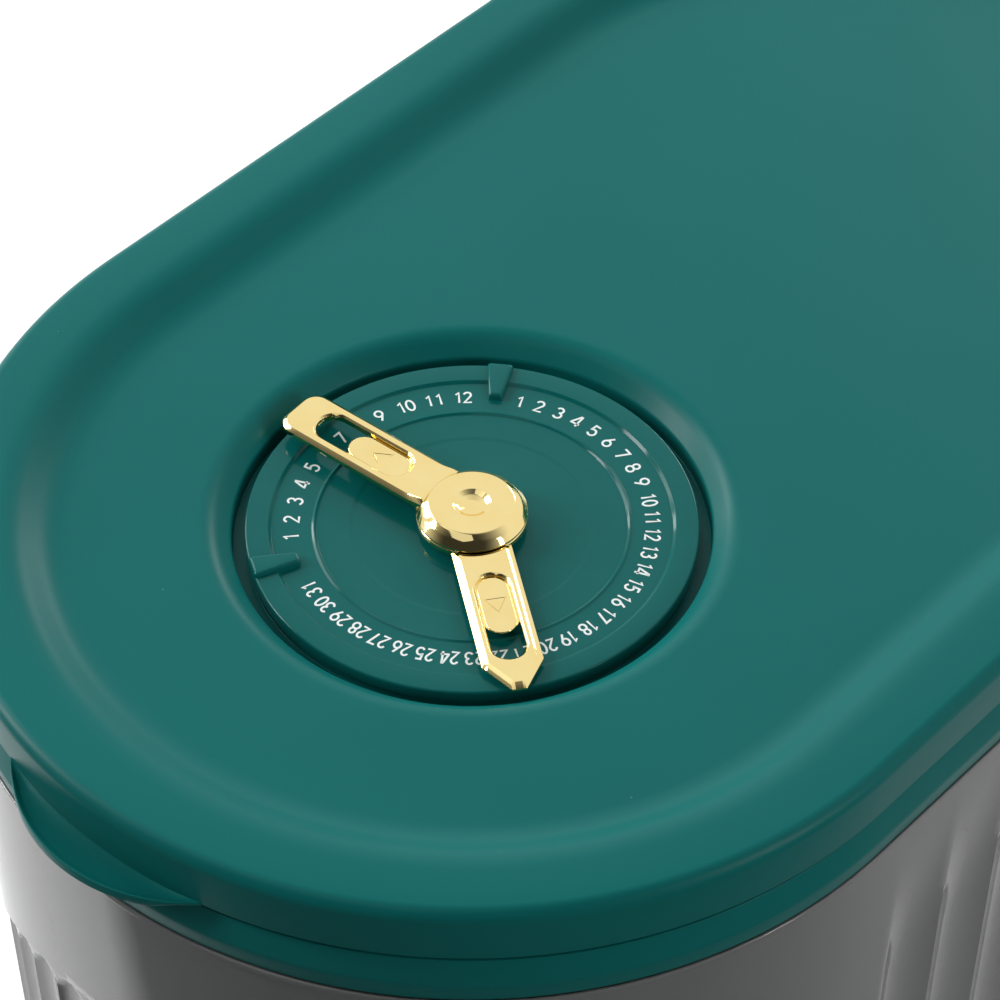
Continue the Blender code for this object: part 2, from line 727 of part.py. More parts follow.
def peg_places(centre=(0.0, 0.0)):
    """Centres of the dial disc's three pegs."""
    angles = [math.radians(90 + 120 * peg) for peg in range(3)]
    return [
        (centre[0] + PEG_CIRCLE * math.cos(angle), centre[1] + PEG_CIRCLE * math.sin(angle))
        for angle in angles
    ]


def tab_section(reach):
    """Section of the tab as (radius, height), dished on top, clear of the collar below.

    Args:
        reach: how far the tab stands out from the skirt at this section.
    """
    skirt = SKIRT_LOW_RADIUS
    root = skirt - SKIRT_WALL / 2
    full = TAB_TIP_SHARE + (1.0 - TAB_TIP_SHARE) * smooth_step(min(1.0, reach / TAB_OVERHANG / 3))
    top = SKIRT_Z + TAB_RISE
    under = SKIRT_Z + CLEAR / 3
    rim = TAB_RIM * full
    dished = top - TAB_DISH * full
    dropped = max(0.0, min(1.0, (reach - TAB_STEP_START) / TAB_STEP_RUN))
    low = under - TAB_OVERHANG * smooth_step(dropped)
    step = skirt + (COLLAR_LOW_RADIUS - COLLAR_TOP_RADIUS) * min(1.0, reach / TAB_OVERHANG)
    outer = skirt + reach
    return [
        (root, top),
        (skirt + rim / 2, top - CLEAR * full),
        (skirt + reach * 0.35, dished),
        (outer - 2 * rim, dished),
        (outer - rim, top - CLEAR * full),
        (outer - rim / 2, top),
        (outer, top - CLEAR),
        (outer, low + CLEAR),
        (outer - CLEAR * full, low),
        (step + CLEAR * full, low),
        (step, under),
        (root, under),
    ]


def tab_shape():
    """Loft the crescent tab from tip to tip; both tips end inside the skirt's wall."""
    tip_y = math.sqrt(SKIRT_LOW_RADIUS**2 - TAB_HALF_WIDTH**2)
    sag = TAB_REACH - tip_y
    bend = (TAB_HALF_WIDTH**2 + sag**2) / (2 * sag)
    centre = TAB_REACH - bend
    spread = math.asin(TAB_HALF_WIDTH / SKIRT_LOW_RADIUS)
    shape = bmesh.new()
    rings = []
    for step in range(TAB_STEPS + 1):
        angle = spread * (2.0 * step / TAB_STEPS - 1.0)
        outer = centre * math.cos(angle) + math.sqrt(bend**2 - (centre * math.sin(angle)) ** 2)
        reach = max(CLEAR, outer - SKIRT_LOW_RADIUS)
        rings.append(
            [
                shape.verts.new(
                    (radius * math.sin(angle), FRONT_Y - radius * math.cos(angle), height)
                )
                for radius, height in tab_section(reach)
            ]
        )
    for left, right in zip(rings, rings[1:]):
        for point in range(len(left)):
            after = (point + 1) % len(left)
            shape.faces.new((left[point], left[after], right[after], right[point]))
    shape.faces.new(rings[0])
    shape.faces.new(list(reversed(rings[-1])))
    return shape


def barrel_outline():
    """The lid's hinge barrel as (y, z), with a web that ends inside the rear skirt."""
    web_low = SKIRT_Z + CLEAR / 3
    start = math.pi - math.asin((web_low - HINGE_Z) / HINGE_RADIUS)
    eye = arc((HINGE_Y, HINGE_Z), HINGE_RADIUS, start, 2.5 * math.pi, 16)
    side_y = math.sqrt(SKIRT_LOW_RADIUS**2 - BARREL_HALF_WIDTH**2)
    root_y = REAR_Y + side_y - SKIRT_WALL / 2
    return eye + [(root_y, HINGE_Z + HINGE_RADIUS), (root_y, web_low)]


def make_lid_shell():
    """Lid: stadium shell with a turned dial well, screw bosses, hinge barrel and finger tab."""
    axis = (0.0, FRONT_Y, 0.0)
    lid = stadium_solid("lid_shell", lid_section(), GREEN_SATIN)
    lip_z = PLATEAU_Z - DIAL_DROP / 3
    cup = turned(
        "lid_well_cup",
        [
            (0.0, lip_z),
            (WELL_MOUTH + WELL_WALL, lip_z),
            (WELL_RADIUS + WELL_WALL, WELL_UNDER_Z + WELL_FLOOR),
            (WELL_RADIUS + WELL_WALL, WELL_UNDER_Z),
            (0.0, WELL_UNDER_Z),
        ],
        place=axis,
    )
    combine(lid, cup, "UNION")
    pilot_top = PLATEAU_Z - LID_WALL
    boss_low = LINER_TOP_Z + CLEAR
    bosses = pillars("lid_bosses", boss_places(), BOSS_RADIUS, boss_low, pilot_top + LID_WALL / 2)
    combine(lid, bosses, "UNION")
    hollow = turned(
        "lid_well_hollow",
        [
            (0.0, RIM_Z),
            (WELL_MOUTH + WELL_LIP * 1.55, RIM_Z),
            (WELL_MOUTH + WELL_LIP * 1.55, PLATEAU_Z + DIAL_DROP * 0.08),
            (WELL_MOUTH + WELL_LIP * 0.45, PLATEAU_Z - DIAL_DROP * 0.08),
            (WELL_MOUTH + WELL_LIP * 0.1, PLATEAU_Z - DIAL_DROP * 0.25),
            (WELL_RADIUS, DIAL_Z - DIAL_DROP / 3),
            (WELL_RADIUS, WELL_FLOOR_Z),
            (0.0, WELL_FLOOR_Z),
        ],
        place=axis,
    )
    combine(lid, hollow, "DIFFERENCE")
    below = WELL_UNDER_Z - WELL_FLOOR
    centre = (0.0, FRONT_Y)
    shaft_hole = pillars("lid_shaft_hole", [centre], SHAFT_RADIUS + CLEAR, below, DIAL_Z)
    combine(lid, shaft_hole, "DIFFERENCE")
    peg_holes = pillars("lid_peg_holes", peg_places(centre), PEG_RADIUS + CLEAR, below, DIAL_Z)
    combine(lid, peg_holes, "DIFFERENCE")
    pilot = SCREW_RADIUS + CLEAR
    low = boss_low - CLEAR
    pilots = pillars("lid_pilot_holes", boss_places(), pilot, low, pilot_top, steps=SCREW_STEPS)
    combine(lid, pilots, "DIFFERENCE")
    tab = add_object("lid_tab", finish_mesh("lid_tab", tab_shape()))
    combine(lid, tab, "UNION")
    barrel = side_plate("lid_barrel", barrel_outline(), -BARREL_HALF_WIDTH, BARREL_HALF_WIDTH)
    combine(lid, barrel, "UNION")
    reach = BARREL_HALF_WIDTH * 1.5
    bore = cross_rods("lid_pin_bore", [(-reach, reach)], PIN_RADIUS + CLEAR)
    combine(lid, bore, "DIFFERENCE")


def make_hinge_pin():
    """Steel pin with one head, through the lugs and the barrel."""
    inner_x, outer_x = hinge_lug_spans()[1]
    head_x = outer_x + CLEAR
    pin = cross_rods("hinge_pin", [(-outer_x - PIN_HEAD, head_x + PIN_HEAD / 2)], PIN_RADIUS, STEEL)
    head = cross_rods("hinge_pin_head", [(head_x, head_x + PIN_HEAD)], PIN_HEAD_RADIUS)
    combine(pin, head, "UNION")


# Lid liner, gasket, screws


def make_lid_liner():
    """Tray that plugs the collar's mouth, with a flange over the gasket and the box's ring."""
    flange_top = FLANGE_Z + LINER_FLANGE_THICKNESS
    inner = LINER_RADIUS - LINER_WALL
    liner = stadium_solid(
        "lid_liner",
        [
            (0.0, LINER_TOP_Z),
            (inner, LINER_TOP_Z),
            (inner, flange_top),
            (LINER_FLANGE, flange_top),
            (LINER_FLANGE, FLANGE_Z),
            (LINER_RADIUS, FLANGE_Z),
            (LINER_RADIUS, LINER_LOW_Z + LINER_WALL / 2),
            (LINER_RADIUS - LINER_WALL / 2, LINER_LOW_Z),
            (0.0, LINER_LOW_Z),
        ],
        GREEN_SATIN,
    )
    root_z = LINER_LOW_Z + LINER_PLATE / 2
    ring = turned(
        "liner_box_ring",
        [
            (BOX_RADIUS, root_z),
            (BOX_RADIUS, BOX_LOW_Z),
            (BOX_RADIUS - BOX_WALL, BOX_LOW_Z),
            (BOX_RADIUS - BOX_WALL, root_z),
        ],
        place=(0.0, BOX_Y, 0.0),
        closed=True,
    )
    combine(liner, ring, "UNION")
    holes = pillars(
        "liner_screw_holes",
        boss_places(),
        SCREW_RADIUS + 2 * CLEAR,
        LINER_LOW_Z - LINER_PLATE,
        LINER_TOP_Z + CLEAR,
        steps=SCREW_STEPS,
    )
    combine(liner, holes, "DIFFERENCE")


def make_lid_gasket():
    """Silicone ring round the liner's wall, under its flange and on the collar."""
    inner = LINER_RADIUS + CLEAR
    lip = GASKET_THICKNESS / 3
    stadium_solid(
        "lid_gasket",
        [
            (GASKET_RADIUS, GASKET_Z),
            (GASKET_RADIUS - lip, GASKET_Z + GASKET_THICKNESS),
            (inner, GASKET_Z + GASKET_THICKNESS),
            (inner, GASKET_Z + lip),
            (GASKET_RADIUS - 2 * lip, GASKET_Z + lip),
            (GASKET_RADIUS - 1.5 * lip, GASKET_Z),
        ],
        SILICONE,
        closed=True,
    )


def screw_profile(length):
    """Half section of a pan-head screw that points up, its head's top face at height 0."""
    return [
        (0.0, length),
        (SCREW_RADIUS * 0.4, length),
        (SCREW_RADIUS, length - SCREW_RADIUS),
        (SCREW_RADIUS, 0.0),
        (SCREW_HEAD_RADIUS, 0.0),
        (SCREW_HEAD_RADIUS, -SCREW_HEAD * 0.6),
        (SCREW_HEAD_RADIUS * 0.7, -SCREW_HEAD),
        (0.0, -SCREW_HEAD),
    ]


def make_liner_screws():
    """Six screws from under the liner into the lid's bosses."""
    head_top = LINER_LOW_Z - CLEAR
    for number, (x, y) in enumerate(boss_places()):
        name = f"liner_screw_{number + 1}"
        profile = screw_profile(LINER_SCREW_LENGTH)
        turned(name, profile, STEEL, (x, y, head_top), steps=SCREW_STEPS)


# Freshness box


def make_vent_cap():
    """Push-fit cap of the freshness box, with radial slots in its plate."""
    outer = BOX_RADIUS - BOX_WALL - CLEAR
    low = CAP_PLATE_TOP_Z - CAP_PLATE
    cap = turned(
        "vent_cap",
        [
            (0.0, CAP_PLATE_TOP_Z),
            (outer - CAP_WALL, CAP_PLATE_TOP_Z),
            (outer - CAP_WALL, CAP_PLATE_TOP_Z + CAP_WALL_HEIGHT),
            (outer, CAP_PLATE_TOP_Z + CAP_WALL_HEIGHT),
            (outer, CAP_PLATE_TOP_Z),
            (BOX_RADIUS + CAP_FLANGE, CAP_PLATE_TOP_Z),
            (BOX_RADIUS + CAP_FLANGE, low + CAP_PLATE / 3),
            (BOX_RADIUS + CAP_FLANGE - CAP_PLATE / 3, low),
            (0.0, low),
        ],
        GREEN_SATIN,
        (0.0, BOX_Y, 0.0),
    )
    start, end, width = CAP_SLOT
    shape = bmesh.new()
    for slot in range(CAP_SLOTS):
        matrix = (
            Matrix.Rotation(2 * math.pi * (slot + 0.5) / CAP_SLOTS, 4, "Z")
            @ Matrix.Translation(((start + end) / 2, 0.0, low + CAP_PLATE / 2))
            @ Matrix.Diagonal((end - start, width, 3 * CAP_PLATE, 1.0))
        )
        bmesh.ops.create_cube(shape, size=1.0, matrix=matrix)
    slots = add_object("vent_cap_slots", finish_mesh("vent_cap_slots", shape), None, (0.0, BOX_Y, 0.0))
    combine(cap, slots, "DIFFERENCE")


def make_sachet():
    """Soft round pack lying on the vent cap's plate."""
    low = CAP_PLATE_TOP_Z + CLEAR
    middle = low + SACHET_THICKNESS / 2
    turned(
        "desiccant_sachet",
        [
            (0.0, low + SACHET_THICKNESS),
            (SACHET_RADIUS * 0.6, low + SACHET_THICKNESS * 0.94),
            (SACHET_RADIUS * 0.88, low + SACHET_THICKNESS * 0.76),
            (SACHET_RADIUS, middle),
            (SACHET_RADIUS * 0.88, low + SACHET_THICKNESS * 0.2),
            (SACHET_RADIUS * 0.7, low),
            (0.0, low),
        ],
        SACHET,
        (0.0, BOX_Y, 0.0),
        steps=SMALL_STEPS,
    )


# Dial disc


def wedge_outline(angle):
    """Wedge mark with its broad end at the disc's edge and a blunt tip towards the centre."""
    tip = WEDGE_TIP_HALF_WIDTH
    edge = DIAL_RADIUS - CLEAR / 3
    flat = [
        (edge, -WEDGE_HALF_WIDTH),
        (edge, WEDGE_HALF_WIDTH),
        (WEDGE_TIP + tip / 2, tip),
        (WEDGE_TIP, 0.0),
        (WEDGE_TIP + tip / 2, -tip),
    ]
    cos, sin = math.cos(angle), math.sin(angle)
    return [(x * cos - y * sin, x * sin + y * cos) for x, y in flat]


def make_dial_disc():
    """Glossy disc: raised outer ring, number ring, ridge, centre boss, two wedges, three pegs."""
    place = (0.0, FRONT_Y, 0.0)
    low = DIAL_Z - DIAL_THICKNESS
    edge = DIAL_RING_STEP
    number_z = DIAL_Z - DIAL_RING_STEP
    field_z = DIAL_Z - DIAL_FIELD_DROP
    hole = SHAFT_RADIUS + CLEAR
    dial = turned(
        "dial_disc",
        [
            (hole, DIAL_BOSS_Z),
            (DIAL_BOSS_RADIUS, DIAL_BOSS_Z),
            (DIAL_BOSS_RADIUS + edge, field_z),
            (DIAL_RIDGE_RADIUS - edge, field_z),
            (DIAL_RIDGE_RADIUS, number_z + edge / 2),
            (DIAL_RIDGE_RADIUS + edge, number_z),
            (DIAL_RING_INNER - edge / 2, number_z),
            (DIAL_RING_INNER + edge / 2, DIAL_Z),
            (DIAL_RADIUS - edge, DIAL_Z),
            (DIAL_RADIUS, DIAL_Z - edge),
            (DIAL_RADIUS, low),
            (hole, low),
        ],
        GREEN_GLOSS,
        place,
        closed=True,
        steps=36,
    )
    for mark, angle in enumerate(WEDGE_ANGLES):
        wedge = plate(
            f"dial_wedge_{mark + 1}",
            [wedge_outline(angle)],
            DIAL_Z - DIAL_THICKNESS / 2,
            DIAL_Z + WEDGE_RISE,
            place=(0.0, FRONT_Y),
            chamfer=CLEAR,
        )
        combine(dial, wedge, "UNION")
    centre = (0.0, FRONT_Y)
    head_top = WELL_UNDER_Z - CLEAR
    head_low = head_top - PEG_HEAD_THICKNESS
    pegs = pillars("dial_pegs", peg_places(centre), PEG_RADIUS, head_low + CLEAR, number_z - DIAL_RING_STEP)
    combine(dial, pegs, "UNION")
    heads = pillars("dial_peg_heads", peg_places(centre), PEG_HEAD, head_low, head_top)
    combine(dial, heads, "UNION")


# Hands


def hand_with_window(part, outline, window, pad_size, levels, chamfer, name):
    """Join a windowed arm and its sunk arrow pad to a hub.

    Args:
        part: the hub.
        outline: the arm's outline along X.
        window: the slot's start, end and half width.
        pad_size: where the pad ends and how far it lies under the arm's top.
        levels: the arm's underside and top.
        chamfer: the arm's chamfer.
        name: the hand's name, for its parts.
    """
    low, high = levels
    pad_end, pad_drop = pad_size
    start, end, half_width = window
    centre = (0.0, FRONT_Y)
    turn = part.rotation_euler.z
    arm = plate(
        f"{name}_arm",
        [outline, slot_outline(start, end, half_width)[::-1]],
        low,
        high,
        place=centre,
        turn=turn,
        chamfer=chamfer,
    )
    combine(part, arm, "UNION")
    pad = plate(
        f"{name}_pad",
        [slot_outline(start - half_width / 2, pad_end, half_width + chamfer)],
        low + CLEAR / 3,
        high - pad_drop,
        place=centre,
        turn=turn,
    )
    combine(part, pad, "UNION")


def make_day_hand():
    """Lower hand: ring under the hub cap and a pointed arm."""
    bore = SHAFT_RADIUS + CLEAR
    pocket = WASHER_RADIUS + CLEAR
    hand = turned(
        "day_hand",
        [
            (bore, DAY_TOP_Z),
            (HUB_RADIUS - RING_CHAMFER, DAY_TOP_Z),
            (HUB_RADIUS, DAY_TOP_Z - RING_CHAMFER),
            (HUB_RADIUS, DAY_RING_Z),
            (pocket, DAY_RING_Z),
            (pocket, DAY_RING_Z + WASHER_POCKET),
            (bore, DAY_RING_Z + WASHER_POCKET),
        ],
        GOLD,
        (0.0, FRONT_Y, 0.0),
        closed=True,
        steps=24,
    )
    hand.rotation_euler.z = DAY_ANGLE
    root = pocket + CLEAR
    outline = [
        (root, -DAY_HALF_WIDTH),
        (DAY_SHOULDER, -DAY_HALF_WIDTH),
        (DAY_TIP, -DAY_TIP_HALF_WIDTH),
        (DAY_TIP, DAY_TIP_HALF_WIDTH),
        (DAY_SHOULDER, DAY_HALF_WIDTH),
        (root, DAY_HALF_WIDTH),
    ]
    pad_size = (DAY_PAD_END, DAY_PAD_DROP)
    levels = (DAY_ARM_Z, DAY_TOP_Z)
    hand_with_window(hand, outline, DAY_WINDOW, pad_size, levels, DAY_CHAMFER, "day")


def make_month_hand():
    """Upper hand: hub cap with a dimple, square-ended arm, and the shaft through the dial."""
    pocket = WASHER_RADIUS + CLEAR
    pilot = SCREW_RADIUS + CLEAR
    pilot_top = WELL_UNDER_Z + HUB_SCREW_LENGTH
    wall_top = MONTH_Z + RING_CHAMFER
    shoulder = (HUB_RADIUS - HUB_SHOULDER * 0.44, MONTH_TOP_Z * 0.56 + wall_top * 0.44)
    hand = turned(
        "month_hand",
        [
            (0.0, MONTH_TOP_Z - DIMPLE_DEPTH),
            (DIMPLE_RADIUS * 0.55, MONTH_TOP_Z - DIMPLE_DEPTH * 0.72),
            (DIMPLE_RADIUS, MONTH_TOP_Z),
            (HUB_RADIUS - HUB_SHOULDER, MONTH_TOP_Z),
            shoulder,
            (HUB_RADIUS, wall_top),
            (HUB_RADIUS, MONTH_Z),
            (pocket, MONTH_Z),
            (pocket, MONTH_Z + WASHER_POCKET),
            (SHAFT_RADIUS, MONTH_Z + WASHER_POCKET),
            (SHAFT_RADIUS, WELL_UNDER_Z),
            (pilot, WELL_UNDER_Z),
            (pilot, pilot_top),
            (0.0, pilot_top),
        ],
        GOLD,
        (0.0, FRONT_Y, 0.0),
        steps=24,
    )
    hand.rotation_euler.z = MONTH_ANGLE
    quarter = math.pi / 2
    corner_x = MONTH_LENGTH - MONTH_CORNER
    corner_y = MONTH_HALF_WIDTH - MONTH_CORNER
    root = pocket + CLEAR
    outline = [(root, -MONTH_HALF_WIDTH)]
    outline += arc((corner_x, -corner_y), MONTH_CORNER, -quarter, 0.0, 3)
    outline += arc((corner_x, corner_y), MONTH_CORNER, 0.0, quarter, 3)
    outline += [(root, MONTH_HALF_WIDTH)]
    pad_size = (MONTH_PAD_END, MONTH_PAD_DROP)
    levels = (MONTH_ARM_Z, MONTH_ARM_TOP_Z)
    hand_with_window(hand, outline, MONTH_WINDOW, pad_size, levels, MONTH_CHAMFER, "month")


def ring_washer(name, inner, outer, low, thickness, material):
    """Flat washer on the dial axis."""
    high = low + thickness
    profile = [(outer, high), (outer, low), (inner, low), (inner, high)]
    place = (0.0, FRONT_Y, 0.0)
    turned(name, profile, material, place, closed=True, steps=SMALL_STEPS)


def make_washers():
    """Two friction washers in the hands' pockets and one under the well's floor."""
    inner = SHAFT_RADIUS + CLEAR
    ring_washer("day_washer", inner, WASHER_RADIUS, DAY_RING_Z, WASHER_THICKNESS, NYLON)
    ring_washer("month_washer", inner, WASHER_RADIUS, MONTH_Z, WASHER_THICKNESS, NYLON)
    low = WELL_UNDER_Z - CLEAR - HUB_WASHER_THICKNESS
    bore = SCREW_RADIUS + CLEAR
    ring_washer("hub_washer", bore, HUB_WASHER_RADIUS, low, HUB_WASHER_THICKNESS, STEEL)


def make_hub_screw():
    """Screw that draws the washer against the month hand's shaft."""
    head_top = WELL_UNDER_Z - CLEAR - HUB_WASHER_THICKNESS - CLEAR
    profile = screw_profile(HUB_SCREW_LENGTH)
    turned("hub_screw", profile, STEEL, (0.0, FRONT_Y, head_top), steps=SCREW_STEPS)


make_tub()
make_foot_pads()
make_collar()
make_collar_seal()
make_lid_shell()
make_hinge_pin()
make_lid_liner()
make_lid_gasket()
make_liner_screws()
make_vent_cap()
make_sachet()
make_dial_disc()
make_day_hand()
make_month_hand()
make_washers()
make_hub_screw()
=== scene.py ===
"""Looks of a flip-lid rice bin with a date dial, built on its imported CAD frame.

The pieces' sizes are in millimetres and the scene is in metres. +Z is up and the finger tab
points towards -Y. Every visible moulding is a numpy surface: a profile of (reach, height) points
carried round a plan. The plan of the bin is a stadium, two half circles joined by straight sides.
"""

import logging
import math
from dataclasses import dataclass, field
from enum import Enum
from typing import Any

import bmesh
import bpy
import numpy as np
from bpy.types import Material, Node, NodeSocket, Object
from mathutils import Matrix, Vector


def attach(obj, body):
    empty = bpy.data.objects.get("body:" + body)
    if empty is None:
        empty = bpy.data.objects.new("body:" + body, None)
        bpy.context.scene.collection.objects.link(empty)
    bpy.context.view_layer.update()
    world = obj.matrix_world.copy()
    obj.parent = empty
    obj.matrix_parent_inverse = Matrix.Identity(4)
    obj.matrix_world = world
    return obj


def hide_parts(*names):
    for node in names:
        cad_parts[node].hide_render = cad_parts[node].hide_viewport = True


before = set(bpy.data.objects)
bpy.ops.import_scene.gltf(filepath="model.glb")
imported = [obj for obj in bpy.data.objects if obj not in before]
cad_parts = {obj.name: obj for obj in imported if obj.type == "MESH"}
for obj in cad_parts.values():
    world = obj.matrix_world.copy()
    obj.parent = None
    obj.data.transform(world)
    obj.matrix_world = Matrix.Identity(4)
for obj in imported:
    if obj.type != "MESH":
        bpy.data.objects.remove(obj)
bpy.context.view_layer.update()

LOG = logging.getLogger("rice_bin")
MM = 0.001
FRONT_Y = -62.05  # centre of the front half circle
REAR_Y = 59.95  # centre of the rear half circle
DIAL_AXIS = (0.0, FRONT_Y)
BOX_AXIS = (0.0, 37.95)  # of the freshness box
HINGE = (166.55, 236.25)  # y and z of the hinge axis
DIAL_FACE = 242.0
WHITE = (1.0, 1.0, 1.0, 1.0)


class Body(Enum):
    """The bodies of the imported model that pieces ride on."""

    BASE = "base"
    LID = "lid"
    MONTH = "month_hand"
    DAY = "day_hand"
    VENT = "vent_cap"


class Slot(Enum):
    """The record's material slots."""

    TUB = "tub"
    LID = "lid"
    DIAL = "dial"
    HANDS = "hands"
    SILICONE = "silicone"
    STEEL = "steel"
    SACHET = "sachet"


# Arrays and meshes


def smooth(share: np.ndarray) -> np.ndarray:
    """Ease from 0 to 1 with level ends: 3 s squared minus 2 s cubed, s held between 0 and 1."""
    held = np.clip(share, 0.0, 1.0)
    return held * held * (3.0 - 2.0 * held)


def directions(angle: np.ndarray) -> np.ndarray:
    """Unit vectors in plan at these angles."""
    return np.stack([np.cos(angle), np.sin(angle)], -1)


def full_turn(columns: int) -> np.ndarray:
    """Evenly spaced angles round a circle."""
    return np.arange(columns) * (2 * math.pi / columns)


def swung(flat: np.ndarray, angle: float, centre: tuple[float, float]) -> np.ndarray:
    """Turn flat points by an angle and move their origin to a centre."""
    cos, sin = math.cos(angle), math.sin(angle)
    return flat @ np.array([[cos, sin], [-sin, cos]]) + np.array(centre)


def lifted(flat: np.ndarray, height: float) -> np.ndarray:
    """Put flat points at a height."""
    return np.column_stack([flat, np.full(len(flat), height)])


def with_radii(points: Any, radii: Any) -> np.ndarray:
    """Rows of x, y and radius, as rounded() reads them, from points and one radius or one each."""
    flat = np.asarray(points, float)
    return np.column_stack([flat, np.broadcast_to(radii, len(flat))])


def rounded(corners: Any, steps: int = 4, closed: bool = False) -> np.ndarray:
    """Round the corners of a flat outline.

    A corner of radius r becomes an arc that touches both edges r / tan(half the corner's angle)
    from the corner; its centre lies on the bisector, r / sin(half the angle) away.

    Args:
        corners: (n, 3) rows of x, y and radius, in order.
        steps: facets of each arc.
        closed: whether the last corner joins the first; the ends of an open outline stay sharp.

    Returns:
        The outline's points, (m, 2), none of them on the one before it.
    """
    table = np.array(corners, float)
    points, size = table[:, :2], table[:, 2]
    if not closed:
        size[[0, -1]] = 0.0
    back = np.roll(points, 1, axis=0) - points
    ahead = np.roll(points, -1, axis=0) - points
    back /= np.linalg.norm(back, axis=1, keepdims=True)
    ahead /= np.linalg.norm(ahead, axis=1, keepdims=True)
    half = np.arccos(np.clip((back * ahead).sum(1), -1.0, 1.0)) / 2
    middle = back + ahead
    middle /= np.maximum(np.linalg.norm(middle, axis=1, keepdims=True), 1e-9)
    centre = points + middle * (size / np.sin(half))[:, None]
    start = points + back * (size / np.tan(half))[:, None] - centre
    end = points + ahead * (size / np.tan(half))[:, None] - centre
    first = np.arctan2(start[:, 1], start[:, 0])
    sweep = (np.arctan2(end[:, 1], end[:, 0]) - first + math.pi) % (2 * math.pi) - math.pi
    angle = first[:, None] + sweep[:, None] * np.linspace(0.0, 1.0, steps + 1)
    path = (centre[:, None] + size[:, None, None] * directions(angle)).reshape(-1, 2)
    return path[np.r_[True, np.linalg.norm(np.diff(path, axis=0), axis=1) > 1e-6]]


def inset(corners: Any, depth: float) -> np.ndarray:
    """Move every edge of an anticlockwise outline inwards by depth, mitred at its corners."""
    points = np.asarray(corners, float)
    ahead = np.roll(points, -1, axis=0) - points
    ahead /= np.linalg.norm(ahead, axis=1, keepdims=True)
    inward = np.stack([-ahead[:, 1], ahead[:, 0]], 1)
    before = np.roll(inward, 1, axis=0)
    mitre = (inward + before) / (1.0 + (inward * before).sum(1, keepdims=True))
    return points + mitre * depth


def read_outline(loop: np.ndarray, angles: np.ndarray) -> np.ndarray:
    """Points where rays from the origin, at these angles, meet a closed outline round it."""
    turn = np.arctan2(loop[:, 1], loop[:, 0])
    order = np.argsort(turn)
    after = np.searchsorted(turn[order], angles, side="right") % len(order)
    start = loop[order][after - 1]
    edge = loop[order][after] - start
    ray = directions(angles)
    far = start[:, 0] * edge[:, 1] - start[:, 1] * edge[:, 0]
    return ray * (far / (ray[:, 0] * edge[:, 1] - ray[:, 1] * edge[:, 0]))[:, None]


@dataclass(frozen=True)
class Plan:
    """A closed path in plan: each column's centre and the unit vector that points outwards."""

    centre: np.ndarray
    out: np.ndarray

    def carry(self, profile: Any) -> np.ndarray:
        """Carry a profile round the plan: a point is the centre plus reach times out, at height.

        Args:
            profile: (rows, 2) points of (reach, height), or (rows, columns, 2) where they vary.

        Returns:
            (rows, columns, 3) points.
        """
        rows = np.asarray(profile, float)
        if rows.ndim == 2:
            rows = rows[:, None]
        flat = self.centre + rows[..., :1] * self.out
        return np.concatenate([flat, np.broadcast_to(rows[..., 1:], flat.shape[:2] + (1,))], 2)


def spokes(centre: tuple[float, float], out: np.ndarray) -> Plan:
    """A plan whose columns all stand round one centre."""
    return Plan(np.broadcast_to(np.array(centre, float), out.shape), out)


def spine_plan(angle: np.ndarray, centre_y: np.ndarray) -> Plan:
    """A plan whose columns stand on the bin's middle line and point at these angles."""
    return Plan(np.stack([0.0 * centre_y, centre_y], 1), directions(angle))


def stadium_plan(arc: int, side: int, spread_from: float = 78.3) -> Plan:
    """The bin's plan, anticlockwise from the left end of the front half circle.

    Args:
        arc: facets of each half circle.
        side: facets of each straight side, spaced by equal angles seen from the dial.
        spread_from: half width at which those angles are taken.
    """
    turn = np.linspace(0.0, math.pi, arc + 1)
    seen = np.linspace(0.0, math.atan((REAR_Y - FRONT_Y) / spread_from), side + 1)[1:-1]
    along = FRONT_Y + spread_from * np.tan(seen)
    angle = np.concatenate([turn - math.pi, 0.0 * along, turn, 0.0 * along + math.pi])
    middle = [np.full(arc + 1, FRONT_Y), along, np.full(arc + 1, REAR_Y), along[::-1]]
    return spine_plan(angle, np.concatenate(middle))


@dataclass(frozen=True)
class Surface:
    """A grid of points in millimetres: rows along a profile, columns round a closed path."""

    points: np.ndarray
    closed: bool = False  # the last row joins the first
    capped: bool = False  # a face closes the first row, and another the last

    def faces(self, start: int) -> list[list[int]]:
        """Faces between neighbouring rows and columns, numbered from start."""
        rows, columns = self.points.shape[:2]
        index = np.arange(rows * columns).reshape(rows, columns) + start
        below = np.roll(index, -1, axis=0) if self.closed else index[1:]
        above = index if self.closed else index[:-1]
        ring = np.stack([above, below, np.roll(below, -1, 1), np.roll(above, -1, 1)], 2)
        caps = [index[0].tolist(), index[-1, ::-1].tolist()] if self.capped else []
        return ring.reshape(-1, 4).tolist() + caps


def swept(profile: Any, arc: int, side: int) -> Surface:
    """A closed section carried round the bin's plan."""
    return Surface(stadium_plan(arc, side).carry(profile), closed=True)


def turned(
    profile: Any, centre: tuple[float, float], columns: int = 96, closed: bool = False
) -> Surface:
    """A surface of revolution about an upright axis."""
    return Surface(spokes(centre, directions(full_turn(columns))).carry(profile), closed)


def along_x(outline: np.ndarray, low: float, high: float, bevel: float) -> Surface:
    """Carry an anticlockwise (y, z) outline along X, with bevelled ends and flat caps."""
    small = inset(outline, bevel)
    places = [(small, low), (outline, low + bevel), (outline, high - bevel), (small, high)]
    rows = [np.column_stack([np.full(len(loop), x), loop]) for loop, x in places]
    return Surface(np.stack(rows), capped=True)


